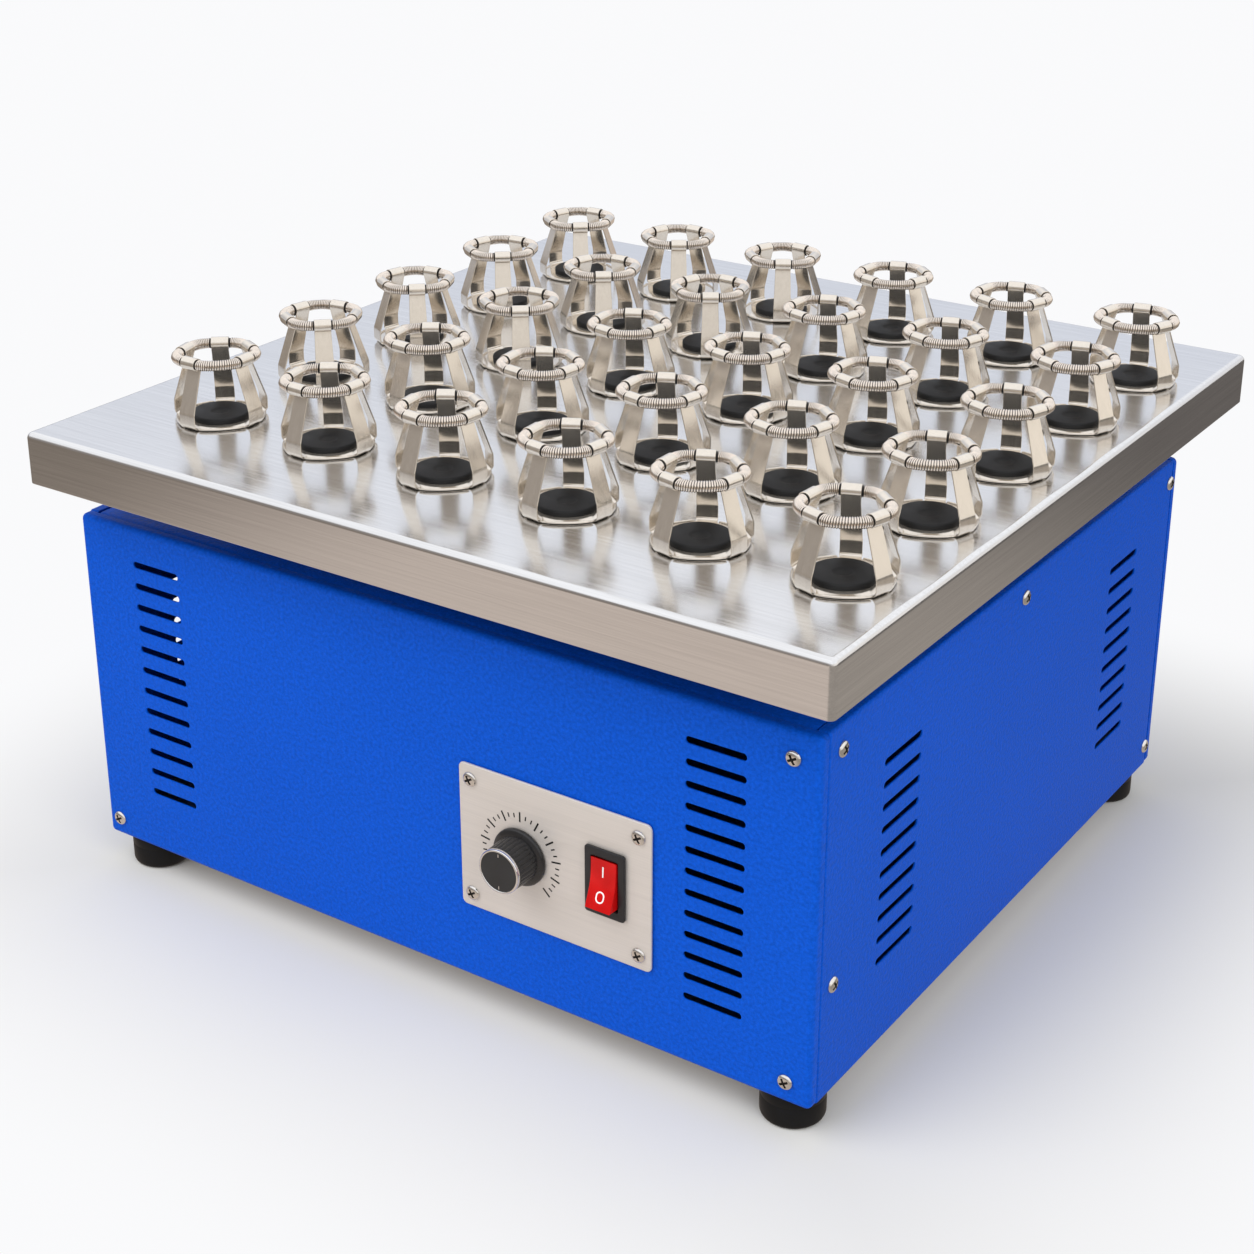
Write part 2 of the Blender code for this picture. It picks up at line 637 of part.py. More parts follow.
def make_motor_plate():
    """The plate on the cabinet's base whose slots let the motor slide to tension the belt."""
    size = (MOTOR_PLATE_WIDTH, MOTOR_PLATE_DEPTH, MOTOR_PLATE_THICKNESS)
    middle = MOTOR_PLATE_BOTTOM + MOTOR_PLATE_THICKNESS / 2
    made = piece("motor_plate", block(size), (MOTOR_MIDDLE.x, MOTOR_MIDDLE.y, middle), ZINC)
    slot = block((MOTOR_SLOT_LENGTH, MOTOR_SLOT_WIDTH, MOTOR_PLATE_THICKNESS + CUT_OVERRUN))
    for x, y in corner_signs():
        inset_x = MOTOR_PLATE_WIDTH / 2 - MOTOR_SLOT_INSET - MOTOR_SLOT_LENGTH / 2
        inset_y = MOTOR_PLATE_DEPTH / 2 - MOTOR_SLOT_INSET - MOTOR_SLOT_WIDTH / 2
        cut(made, slot, (x * inset_x, y * inset_y, 0))
    return made


def face_panel(name, side):
    """The front (-1) or rear (1) panel, a pan that looks outwards."""
    face = FRONT_FACE if side < 0 else REAR_FACE
    turn = (math.pi / 2, 0, 0) if side < 0 else (math.pi / 2, 0, math.pi)
    place = (CABINET_MIDDLE.x, face, CABINET_BOTTOM + CABINET_HEIGHT / 2)
    return pan(name, CABINET_WIDTH, CABINET_HEIGHT, PANEL_FOLD, PANEL_SHEET, FACE_EDGE_RADIUS,
               place, BLUE_PAINT, turn)


def vents(made, count, length, middle, bottom, top):
    """Cuts a column of slots in a panel, about a place along its face."""
    column = vent_column(count, length, bottom, top, PANEL_SHEET)
    cut(made, column, (middle, (bottom + top) / 2 - CABINET_HEIGHT / 2, -PANEL_SHEET / 2))


def make_front_panel():
    """The front panel, with its vents and the cut-outs behind the control plate."""
    made = face_panel("front_panel", -1)
    edge = CABINET_WIDTH / 2 - FRONT_VENT_INSET - FRONT_VENT_LENGTH / 2
    vents(made, LEFT_VENT_COUNT, FRONT_VENT_LENGTH, -edge, FRONT_VENT_BOTTOM, FRONT_VENT_TOP)
    vents(made, RIGHT_VENT_COUNT, FRONT_VENT_LENGTH, edge, FRONT_VENT_BOTTOM, FRONT_VENT_TOP)
    middle = CABINET_BOTTOM + CABINET_HEIGHT / 2
    holes = [(bush_hole(PANEL_SHEET), KNOB_X, KNOB_Z), (switch_hole(PANEL_SHEET), SWITCH_X, SWITCH_Z)]
    for mesh, x, z in holes:
        cut(made, mesh, (x - CABINET_MIDDLE.x, z - middle, -PANEL_SHEET / 2))
    return made


def make_rear_panel():
    """The rear panel, with the mains inlet's cut-out."""
    made = face_panel("rear_panel", 1)
    margin = SEAT_GAP * 2
    hole = block((INLET_BODY_WIDTH + margin, INLET_BODY_HEIGHT + margin, PANEL_SHEET + CUT_OVERRUN))
    cut(made, hole, (INLET_SIDE_DISTANCE, INLET_RISE - CABINET_HEIGHT / 2, -PANEL_SHEET / 2))
    return made


def make_side_panel(name, side):
    """The left (-1) or right (1) panel, between the front and rear ones."""
    width = CABINET_DEPTH - (PANEL_FOLD + SEAM_GAP) * 2
    face = CABINET_MIDDLE.x + side * CABINET_WIDTH / 2
    place = (face, CABINET_MIDDLE.y, CABINET_BOTTOM + CABINET_HEIGHT / 2)
    turn = (math.pi / 2, 0, side * math.pi / 2)
    made = pan(name, width, CABINET_HEIGHT, PANEL_FOLD, PANEL_SHEET, SIDE_EDGE_RADIUS, place,
               BLUE_PAINT, turn)
    front = CABINET_DEPTH / 2 - SIDE_VENT_FRONT_INSET - SIDE_VENT_LENGTH / 2
    rear = CABINET_DEPTH / 2 - SIDE_VENT_REAR_INSET - SIDE_VENT_LENGTH / 2
    for middle in (-side * front, side * rear):
        vents(made, SIDE_VENT_COUNT, SIDE_VENT_LENGTH, middle, SIDE_VENT_BOTTOM, SIDE_VENT_TOP)
    return made


def inner_size():
    """Width and depth between the folded edges of the panels."""
    margin = (PANEL_FOLD + SEAT_GAP) * 2
    return CABINET_WIDTH - margin, CABINET_DEPTH - margin


def make_deck():
    """The top plate, flush with the panels, with a hole for the main bearing and four idler bosses."""
    width, depth = inner_size()
    place = (CABINET_MIDDLE.x, CABINET_MIDDLE.y, CABINET_TOP)
    made = pan("deck", width, depth, FLANGE_HEIGHT, DECK_SHEET, FLANGE_EDGE_RADIUS, place, BLUE_PAINT)
    hole = (HOUSING_NOSE_RADIUS + SEAT_GAP) / math.cos(math.pi / ROUND_FACETS)
    cut(made, rod(hole, DECK_SHEET + CUT_OVERRUN), (0, 0, -DECK_SHEET / 2))
    boss_length = IDLER_BOSS_DROP - DECK_SHEET / 2
    boss_middle = -(IDLER_BOSS_DROP + DECK_SHEET / 2) / 2
    bore = bore_radius(IDLER_SPINDLE_RADIUS, SMALL_FACETS)
    for x, y in corner_signs():
        spot = (x * IDLER_SPACING / 2, y * IDLER_SPACING / 2, boss_middle)
        add(made, rod(IDLER_BOSS_RADIUS, boss_length, SMALL_FACETS), spot)
        cut(made, rod(bore, IDLER_BOSS_DROP + CUT_OVERRUN * 2, SMALL_FACETS), spot)
    return made


def make_base_pan():
    """The floor of the cabinet, with its flange turned up inside the panels."""
    width, depth = inner_size()
    place = (CABINET_MIDDLE.x, CABINET_MIDDLE.y, CABINET_BOTTOM)
    return pan("base_pan", width, depth, FLANGE_HEIGHT, BASE_SHEET, FLANGE_EDGE_RADIUS, place, ZINC,
               (math.pi, 0, 0))


def make_feet():
    """Four round rubber feet, rounded where they meet the floor."""
    centre = (FOOT_RADIUS - FOOT_ROUNDING, FOOT_ROUNDING)
    lower_edge = arc(centre, FOOT_ROUNDING, 0, -math.pi / 2, EDGE_FACETS)
    profile = [(0, FOOT_HEIGHT), (FOOT_RADIUS, FOOT_HEIGHT), *lower_edge, (0, 0)]
    reach_x = CABINET_WIDTH / 2 - FOOT_INSET
    reach_y = CABINET_DEPTH / 2 - FOOT_INSET
    for number, (x, y) in enumerate(corner_signs(), 1):
        place = CABINET_MIDDLE + Vector((x * reach_x, y * reach_y, 0))
        turned("foot_%d" % number, profile, place, RUBBER)


def bush_hole(depth):
    """The hole that the controller's bush passes through."""
    radius = (BUSH_RADIUS + SEAT_GAP) / math.cos(math.pi / SMALL_FACETS)
    return rod(radius, depth + CUT_OVERRUN, SMALL_FACETS)


def switch_body_size():
    """Width and height of the switch behind its bezel."""
    pivot_to_lip = math.hypot(ROCKER_HEIGHT / 2, ROCKER_LIP + ROCKER_PIVOT_DEPTH)
    pocket_height = (pivot_to_lip + ROCKER_TIP_GAP) * 2
    return ROCKER_WIDTH + (SEAT_GAP + BEZEL_WALL) * 2, pocket_height + BEZEL_WALL * 2


def switch_hole(depth):
    """The hole that the switch passes through."""
    width, height = switch_body_size()
    return block((width + SEAT_GAP * 2, height + SEAT_GAP * 2, depth + CUT_OVERRUN))


def make_control_plate():
    """The plate behind the knob and the switch, with rounded corners and a chamfered edge."""
    shape = bmesh.new()
    size = Matrix.Diagonal((PLATE_WIDTH, PLATE_HEIGHT, PLATE_THICKNESS, 1))
    bmesh.ops.create_cube(shape, size=1, matrix=size)
    corners = [edge for edge in shape.edges if along(edge, 2)]
    bmesh.ops.bevel(shape, geom=corners, offset=PLATE_CORNER_RADIUS, segments=EDGE_FACETS, profile=0.5,
                    affect="EDGES")
    rim = [edge for edge in shape.edges if all(vert.co.z > 0 for vert in edge.verts)]
    bmesh.ops.bevel(shape, geom=rim, offset=PLATE_EDGE_CHAMFER, segments=1, profile=0.5, affect="EDGES")
    place = (PLATE_MIDDLE_X, PLATE_FACE + PLATE_THICKNESS / 2, PLATE_MIDDLE_Z)
    made = piece("control_plate", mesh_from(shape, "control_plate"), place, PALE_METAL)
    made.rotation_euler = (math.pi / 2, 0, 0)
    cut(made, bush_hole(PLATE_THICKNESS), (KNOB_OFFSET, -KNOB_DROP, 0))
    cut(made, switch_hole(PLATE_THICKNESS), (SWITCH_OFFSET, SWITCH_RISE, 0))
    return made


def flute_outline(radius):
    """A circle scalloped by the knob's flutes."""
    count = KNOB_FLUTE_COUNT * 2
    outline = []
    for index in range(count):
        reach = radius - KNOB_FLUTE_DEPTH * (index % 2)
        angle = math.tau * index / count
        outline.append((reach * math.cos(angle), reach * math.sin(angle)))
    return outline


def make_knob():
    """The fluted speed knob with its skirt, cap and shaft, about its shaft's axis."""
    skirt_edge = KNOB_SKIRT_RADIUS - KNOB_SKIRT_TAPER
    profile = [
        (0, KNOB_SKIRT_HEIGHT),
        (skirt_edge, KNOB_SKIRT_HEIGHT),
        (KNOB_SKIRT_RADIUS, KNOB_SKIRT_HEIGHT / 3),
        (KNOB_SKIRT_RADIUS, 0),
        (0, 0)]
    place = (KNOB_X, PLATE_FACE - KNOB_LIFT, KNOB_Z)
    made = turned("speed_knob", profile, place, BLACK_PLASTIC, WHEEL_FACETS)
    made.rotation_euler = (math.pi / 2, 0, 0)
    shape = bmesh.new()
    shape.from_mesh(outline_mesh("flutes", [flute_outline(KNOB_BODY_RADIUS)], KNOB_BODY_HEIGHT))
    taper = (KNOB_BODY_RADIUS - KNOB_BODY_TAPER) / KNOB_BODY_RADIUS
    front = [vert for vert in shape.verts if vert.co.z > 0]
    bmesh.ops.scale(shape, vec=(taper, taper, 1), verts=front)
    add(made, mesh_from(shape, "flutes"), (0, 0, KNOB_SKIRT_HEIGHT / 2 + KNOB_BODY_HEIGHT / 2))
    shaft_length = KNOB_SHAFT_LENGTH + KNOB_SKIRT_HEIGHT / 2
    shaft = rod(KNOB_SHAFT_RADIUS, shaft_length, SMALL_FACETS)
    add(made, shaft, (0, 0, KNOB_SKIRT_HEIGHT / 2 - shaft_length / 2))
    cap = rod(KNOB_CAP_RADIUS, KNOB_CAP_HEIGHT * 2, WHEEL_FACETS)
    add(made, cap, (0, 0, KNOB_SKIRT_HEIGHT / 2 + KNOB_BODY_HEIGHT))
    return made


def make_controller():
    """The speed controller behind the front panel, whose bush comes through to the knob."""
    seat = FRONT_FACE + PANEL_SHEET + SEAT_GAP
    bush_reach = seat - PLATE_FACE - BUSH_RECESS
    bore = bore_radius(KNOB_SHAFT_RADIUS, SMALL_FACETS)
    bore_floor = seat - PLATE_FACE - KNOB_SHAFT_LENGTH + KNOB_LIFT - RUNNING_GAP
    profile = [
        (0, bore_floor),
        (bore, bore_floor),
        (bore, bush_reach),
        (BUSH_RADIUS, bush_reach),
        (BUSH_RADIUS, 0),
        (CONTROLLER_RADIUS, 0),
        (CONTROLLER_RADIUS, -CONTROLLER_DEPTH),
        (0, -CONTROLLER_DEPTH)]
    made = turned("speed_controller", profile, (KNOB_X, seat, KNOB_Z), DARK_PAINT, SMALL_FACETS)
    made.rotation_euler = (math.pi / 2, 0, 0)
    return made


def make_switch():
    """The rocker switch: bezel with its body, and the rocker pressed in at the top."""
    width, height = switch_body_size()
    pocket = (width - BEZEL_WALL * 2, height - BEZEL_WALL * 2)
    face = PLATE_FACE - SEAT_GAP - BEZEL_THICKNESS
    bezel = piece("switch_bezel",
                  block((BEZEL_WIDTH, BEZEL_HEIGHT, BEZEL_THICKNESS), BEZEL_CORNER_RADIUS),
                  (SWITCH_X, face + BEZEL_THICKNESS / 2, SWITCH_Z), BLACK_PLASTIC)
    bezel.rotation_euler = (math.pi / 2, 0, 0)
    body_depth = SWITCH_BODY_DEPTH + BEZEL_THICKNESS / 2
    add(bezel, block((width, height, body_depth)), (0, 0, -body_depth / 2))
    pocket_depth = BEZEL_THICKNESS + ROCKER_POCKET_DEPTH + CUT_OVERRUN
    pocket_middle = BEZEL_THICKNESS / 2 + CUT_OVERRUN - pocket_depth / 2
    cut(bezel, block((*pocket, pocket_depth)), (0, 0, pocket_middle))
    half = ROCKER_HEIGHT / 2
    half_back = ROCKER_BACK_HEIGHT / 2
    pivot = ROCKER_PIVOT_DEPTH
    outline = [
        (-ROCKER_LIP - pivot, half),
        (ROCKER_BACK - pivot, half_back),
        (ROCKER_BACK - pivot, -half_back),
        (-ROCKER_LIP - pivot, -half),
        (-ROCKER_VALLEY - pivot, 0)]
    rocker = piece("switch_rocker", outline_mesh("switch_rocker", [outline], ROCKER_WIDTH),
                   (SWITCH_X, face + pivot, SWITCH_Z), RED_PLASTIC)
    upright = Euler((math.pi / 2, 0, math.pi / 2)).to_matrix()
    pressed = Matrix.Rotation(-ROCKER_TILT, 3, "X")
    rocker.rotation_euler = (pressed @ upright).to_euler()


def make_inlet():
    """The mains inlet on the rear panel, with its three pins in their recess."""
    flange_middle = REAR_FACE + SEAT_GAP + INLET_FLANGE_THICKNESS / 2
    place = (CABINET_MIDDLE.x - INLET_SIDE_DISTANCE, flange_middle, CABINET_BOTTOM + INLET_RISE)
    made = piece("mains_inlet", block((INLET_FLANGE_WIDTH, INLET_FLANGE_HEIGHT, INLET_FLANGE_THICKNESS)),
                 place, BLACK_PLASTIC)
    made.rotation_euler = (math.pi / 2, 0, math.pi)
    body_depth = INLET_BODY_DEPTH + INLET_FLANGE_THICKNESS / 2
    add(made, block((INLET_BODY_WIDTH, INLET_BODY_HEIGHT, body_depth)), (0, 0, -body_depth / 2))
    mouth = INLET_FLANGE_THICKNESS / 2
    recess_depth = INLET_RECESS_DEPTH + CUT_OVERRUN
    cut(made, block((INLET_RECESS_WIDTH, INLET_RECESS_HEIGHT, recess_depth)),
        (0, 0, mouth + CUT_OVERRUN - recess_depth / 2))
    pin_length = INLET_PIN_LENGTH + CUT_OVERRUN
    pin_middle = mouth - INLET_RECESS_DEPTH + INLET_PIN_LENGTH - pin_length / 2
    pin = block((INLET_PIN_WIDTH, INLET_PIN_HEIGHT, pin_length))
    for step in (-1, 0, 1):
        rise = INLET_PIN_OFFSET if step == 0 else -INLET_PIN_OFFSET
        add(made, pin, (step * INLET_PIN_SPACING, rise, pin_middle))
    return made


def clamp_leg(angle):
    """One sprung leg: straight up from the base's rim, then leaning in to the ring."""
    radii = (CLAMP_LEG_ROOT_RADIUS, CLAMP_LEG_ROOT_RADIUS, CLAMP_RING_RADIUS)
    heights = (CLAMP_BASE_SHEET / 2, CLAMP_LEG_KNEE_HEIGHT, CLAMP_RING_HEIGHT)
    shape = bmesh.new()
    rungs = []
    for radius, height in zip(radii, heights):
        rungs.append([shape.verts.new((radius, side * CLAMP_LEG_WIDTH / 2, height)) for side in (-1, 1)])
    for low, high in zip(rungs, rungs[1:]):
        shape.faces.new((low[0], low[1], high[1], high[0]))
    shape.normal_update()
    bmesh.ops.solidify(shape, geom=shape.faces[:], thickness=CLAMP_LEG_SHEET)
    bmesh.ops.recalc_face_normals(shape, faces=shape.faces)
    bmesh.ops.rotate(shape, verts=shape.verts, matrix=Matrix.Rotation(angle, 3, "Z"))
    return mesh_from(shape, "clamp_leg")


def clamp_ring():
    """The garter spring drawn as a plain ring of short straight lengths."""
    sections = CLAMP_LEG_COUNT * CLAMP_RING_SECTION_COUNT
    bpy.ops.mesh.primitive_torus_add(
        major_segments=sections, minor_segments=CLAMP_RING_FACETS,
        major_radius=CLAMP_RING_RADIUS / math.cos(math.pi / sections), minor_radius=CLAMP_RING_TUBE)
    made = bpy.context.object
    mesh = made.data
    mesh.transform(Matrix.Rotation(math.pi / sections, 4, "Z"))
    bpy.data.objects.remove(made)
    return mesh


def clamp_mesh():
    """A whole flask clamp: base, rubber pad, five legs and the ring that they hold."""
    base_facets = CLAMP_LEG_COUNT * 2
    straight = Matrix.Rotation(math.pi / base_facets, 4, "Z")
    base = rod(CLAMP_BASE_RADIUS / math.cos(math.pi / base_facets), CLAMP_BASE_SHEET, base_facets)
    base.transform(straight @ Matrix.Translation((0, 0, CLAMP_BASE_SHEET / 2)))
    master = place_in(cutters, "clamp_master", base)
    pad_bottom = CLAMP_BASE_SHEET / 2
    pad_length = CLAMP_PAD_HEIGHT + pad_bottom
    add(master, rod(CLAMP_PAD_RADIUS, pad_length, base_facets), (0, 0, pad_bottom + pad_length / 2))
    add(master, clamp_ring(), (0, 0, CLAMP_RING_HEIGHT))
    for number in range(CLAMP_LEG_COUNT):
        add(master, clamp_leg(math.tau * number / CLAMP_LEG_COUNT))
    mesh = settled_mesh(master)
    for guide in list(master.children):
        bpy.data.objects.remove(guide)
    bpy.data.objects.remove(master)
    return mesh


def clamp_turn(column, row):
    """How far a clamp is turned about its screw: those at the back left show a leg in front."""
    turn = CLAMP_TURN + (CLAMP_COLUMN_COUNT - 1 - column) * CLAMP_TURN_PER_COLUMN
    turn += row * CLAMP_TURN_PER_ROW
    half_step = math.pi / CLAMP_LEG_COUNT
    if row <= column or column > CLAMP_COLUMN_COUNT // 3:
        turn += half_step
    return turn - math.pi / 2


def clamp_place(column, row):
    """Where a clamp stands on the platform."""
    middle_x, middle_y = CLAMP_GRID_MIDDLE
    x = middle_x + (column - (CLAMP_COLUMN_COUNT - 1) / 2) * CLAMP_PITCH_X
    y = middle_y + (row - (CLAMP_ROW_COUNT - 1) / 2) * CLAMP_PITCH_Y
    return x, y, 0


def make_clamps():
    """Thirty clamps in rows on the platform."""
    shared = clamp_mesh()
    platform = bpy.data.objects.new("platform_pivot", None)
    platform.location = (0, 0, CLAMP_SEAT)
    parts.objects.link(platform)
    for row in range(CLAMP_ROW_COUNT):
        for column in range(CLAMP_COLUMN_COUNT):
            number = row * CLAMP_COLUMN_COUNT + column + 1
            place = clamp_place(column, row)
            made = piece("flask_clamp_%02d" % number, shared.copy(), place, SATIN_STEEL)
            made.rotation_euler = (0, 0, clamp_turn(column, row))
            made.parent = platform


clear_objects()
parts = new_collection("rotary_flask_shaker")
cutters = new_collection("cutters")

BLUE_PAINT = material("blue_paint", (0.004, 0.09, 0.62), 0.45, 0.0)
STAINLESS = material("stainless", (0.62, 0.62, 0.63), 0.32, 1.0)
SATIN_STEEL = material("satin_steel", (0.60, 0.56, 0.51), 0.30, 1.0)
STEEL = material("steel", (0.55, 0.55, 0.56), 0.35, 1.0)
ALUMINIUM = material("aluminium", (0.70, 0.71, 0.72), 0.40, 1.0)
ZINC = material("zinc", (0.55, 0.56, 0.58), 0.50, 1.0)
CAST_IRON = material("cast_iron", (0.18, 0.18, 0.19), 0.60, 0.8)
DARK_PAINT = material("dark_paint", (0.05, 0.05, 0.055), 0.50, 0.0)
PALE_METAL = material("pale_metal", (0.63, 0.60, 0.57), 0.35, 0.8)
BLACK_PLASTIC = material("black_plastic", (0.012, 0.012, 0.013), 0.30, 0.0)
RED_PLASTIC = material("red_plastic", (0.65, 0.01, 0.01), 0.25, 0.0)
RUBBER = material("rubber", (0.015, 0.015, 0.016), 0.70, 0.0)

make_tray()
make_carriage()
make_cranks()
make_bearing_housing()
make_drive_pulley()
make_counterweight()
make_belt()
make_motor_pulley()
make_motor()
make_motor_plate()
make_front_panel()
make_rear_panel()
make_side_panel("side_panel_left", -1)
make_side_panel("side_panel_right", 1)
make_deck()
make_base_pan()
make_feet()
make_control_plate()
make_knob()
make_controller()
make_switch()
make_inlet()
make_clamps()
bpy.context.view_layer.update()
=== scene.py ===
"""Looks for the rotary flask shaker: detailed pieces over the frame, materials, light, camera."""

import math

import bmesh
import bpy
from mathutils import Euler, Matrix, Vector


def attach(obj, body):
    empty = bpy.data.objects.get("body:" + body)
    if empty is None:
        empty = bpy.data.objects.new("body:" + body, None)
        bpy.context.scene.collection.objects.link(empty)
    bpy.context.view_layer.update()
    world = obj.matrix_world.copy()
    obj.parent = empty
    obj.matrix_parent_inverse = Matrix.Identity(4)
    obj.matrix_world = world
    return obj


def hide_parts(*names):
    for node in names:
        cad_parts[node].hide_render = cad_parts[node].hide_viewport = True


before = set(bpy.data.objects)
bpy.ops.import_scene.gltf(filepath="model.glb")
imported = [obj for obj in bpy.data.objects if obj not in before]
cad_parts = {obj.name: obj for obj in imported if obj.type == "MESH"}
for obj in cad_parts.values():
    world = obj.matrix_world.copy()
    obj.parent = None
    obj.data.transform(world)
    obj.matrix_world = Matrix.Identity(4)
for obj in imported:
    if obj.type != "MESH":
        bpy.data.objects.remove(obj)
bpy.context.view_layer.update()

# Places and sizes that the frame was built to, in metres
TRAY_SIZE = 0.610
TRAY_HEIGHT = 0.036
TRAY_TOP = 0.3413
TRAY_SHEET = 0.002
TRAY_ROLL = 0.0045
CLAMP_ROWS = 5
CLAMP_COLUMNS = 6
CLAMP_PITCH = (0.095, 0.104)
CLAMP_MIDDLE = (0.020, -0.003)
CLAMP_SEAT = 0.3416
MIDDLE = Vector((-0.010363, -0.006990, 0))
CABINET_WIDTH = 0.580
CABINET_DEPTH = 0.523
CABINET_HEIGHT = 0.248
CABINET_BOTTOM = 0.0243
FRONT_FACE = MIDDLE.y - CABINET_DEPTH / 2
REAR_FACE = MIDDLE.y + CABINET_DEPTH / 2
LEFT_FACE = MIDDLE.x - CABINET_WIDTH / 2
RIGHT_FACE = MIDDLE.x + CABINET_WIDTH / 2
MIDDLE_Z = CABINET_BOTTOM + CABINET_HEIGHT / 2
PANEL_SHEET = 0.0015
PANEL_FOLD = 0.008
PANEL_CORNER = 0.004
PANEL_SEAM = 0.0006
VENT_HEIGHT = 0.0048
VENT_RADIUS = 0.0022
FRONT_VENT = 0.041
SIDE_VENT = 0.047
FOOT_INSET = 0.025
PLATE_SHEET = 0.002
PLATE_FACE = FRONT_FACE - 0.0023
PLATE_X = 0.097237
PLATE_Z = 0.1313
KNOB_SHIFT = (-0.025, -0.0015)
KNOB_X = PLATE_X + KNOB_SHIFT[0]
KNOB_Z = PLATE_Z + KNOB_SHIFT[1]
SWITCH_SHIFT = (0.0395, 0.002)
SWITCH_X = PLATE_X + SWITCH_SHIFT[0]
SWITCH_Z = PLATE_Z + SWITCH_SHIFT[1]
BEZEL_SHEET = 0.0022
SWITCH_FACE = PLATE_FACE - 0.0003 - BEZEL_SHEET
INLET_X = 0.200
INLET_Z = 0.060
CROSS_TURN = 0.5
MM = 0.001

# Turns that stand a flat piece, made looking up, against a side of the cabinet
UPRIGHT_FRONT = (math.pi / 2, 0, 0)
UPRIGHT_REAR = (math.pi / 2, 0, math.pi)
UPRIGHT_LEFT = (math.pi / 2, 0, -math.pi / 2)
UPRIGHT_RIGHT = (math.pi / 2, 0, math.pi / 2)

# The camera, in degrees, metres and pixels of the photograph, and the studio
IMAGE_SIZE = 1254
FOCAL_PIXELS = 2239.6
SHIFT_PIXELS = -125
SENSOR_WIDTH = 36
CAMERA_TURN = 34.1258
CAMERA_LIFT = 22.0788
CAMERA_DISTANCE = 1.581372
TARGET_SIDE = -0.0262924
TARGET_HEIGHT = 0.2586241
LAMP_TARGET = (0, 0, 0.2)
FLOOR_REACH = 16


# Shapes

def link(name, mesh, place=(0, 0, 0), turn=(0, 0, 0)):
    """Adds an object to the scene."""
    made = bpy.data.objects.new(name, mesh)
    made.location = place
    made.rotation_euler = turn
    bpy.context.scene.collection.objects.link(made)
    return made


def to_mesh(shape, name="shape"):
    """Turns a bmesh into a mesh and frees it."""
    bmesh.ops.recalc_face_normals(shape, faces=shape.faces)
    mesh = bpy.data.meshes.new(name)
    shape.to_mesh(mesh)
    shape.free()
    return mesh


def settled(made):
    """Gives an object's mesh with its modifiers applied, and removes the object."""
    bpy.context.view_layer.update()
    evaluated = made.evaluated_get(bpy.context.evaluated_depsgraph_get())
    mesh = bpy.data.meshes.new_from_object(evaluated)
    bpy.data.objects.remove(made)
    return mesh


def smooth(mesh, angle=35):
    """Shades a mesh smooth over its round faces."""
    mesh.shade_smooth()
    mesh.set_sharp_from_angle(angle=math.radians(angle))
    return mesh


def metres(points):
    """Points that are given in millimetres."""
    return [(x * MM, y * MM) for x, y in points]


def skinned(shape, rings, angle):
    """The mesh of a shape whose rings of vertices are joined in turn and closed at both ends."""
    for low, high in zip(rings, rings[1:]):
        for step in range(len(low)):
            following = (step + 1) % len(low)
            shape.faces.new((low[step], low[following], high[following], high[step]))
    shape.faces.new(rings[0][::-1])
    shape.faces.new(rings[-1])
    return smooth(to_mesh(shape), angle)


def moved(mesh, place=(0, 0, 0), turn=(0, 0, 0)):
    """Turns and then shifts a mesh."""
    mesh.transform(Matrix.Translation(place) @ Euler(turn).to_matrix().to_4x4())
    return mesh


def joined(meshes, materials, name):
    """One mesh of several, each (mesh, index of its material)."""
    shape = bmesh.new()
    for mesh, index in meshes:
        start = len(shape.faces)
        shape.from_mesh(mesh)
        shape.faces.ensure_lookup_table()
        for face in shape.faces[start:]:
            face.material_index = index
    made = bpy.data.meshes.new(name)
    shape.to_mesh(made)
    shape.free()
    for material in materials:
        made.materials.append(material)
    return made


def lathe(profile, facets=64, angle=35):
    """A shape turned about Z from (radius, height) points."""
    shape = bmesh.new()
    rings = []
    for radius, height in profile:
        if radius < 1e-7:
            rings.append([shape.verts.new((0, 0, height))])
            continue
        ring = []
        for step in range(facets):
            turn = math.tau * step / facets
            ring.append(shape.verts.new((radius * math.cos(turn), radius * math.sin(turn), height)))
        rings.append(ring)
    for low, high in zip(rings, rings[1:]):
        for step in range(facets):
            following = (step + 1) % facets
            loop = [low[step % len(low)], low[following % len(low)],
                    high[following % len(high)], high[step % len(high)]]
            loop = [vert for place, vert in enumerate(loop) if vert not in loop[:place]]
            if len(loop) > 2:
                shape.faces.new(loop)
    return smooth(to_mesh(shape), angle)


def arc(middle, radius, start, end, steps):
    """Points along an arc given in degrees, both ends included."""
    angles = [math.radians(start + (end - start) * step / steps) for step in range(steps + 1)]
    return [(middle[0] + radius * math.cos(a), middle[1] + radius * math.sin(a)) for a in angles]


def rounded(width, height, radius, middle=(0, 0), steps=5):
    """The outline of a rectangle with round corners."""
    outline = []
    for number, (x, y) in enumerate(((1, 1), (-1, 1), (-1, -1), (1, -1))):
        centre = (middle[0] + x * (width / 2 - radius), middle[1] + y * (height / 2 - radius))
        outline += arc(centre, radius, 90 * number, 90 * number + 90, steps)
    return outline


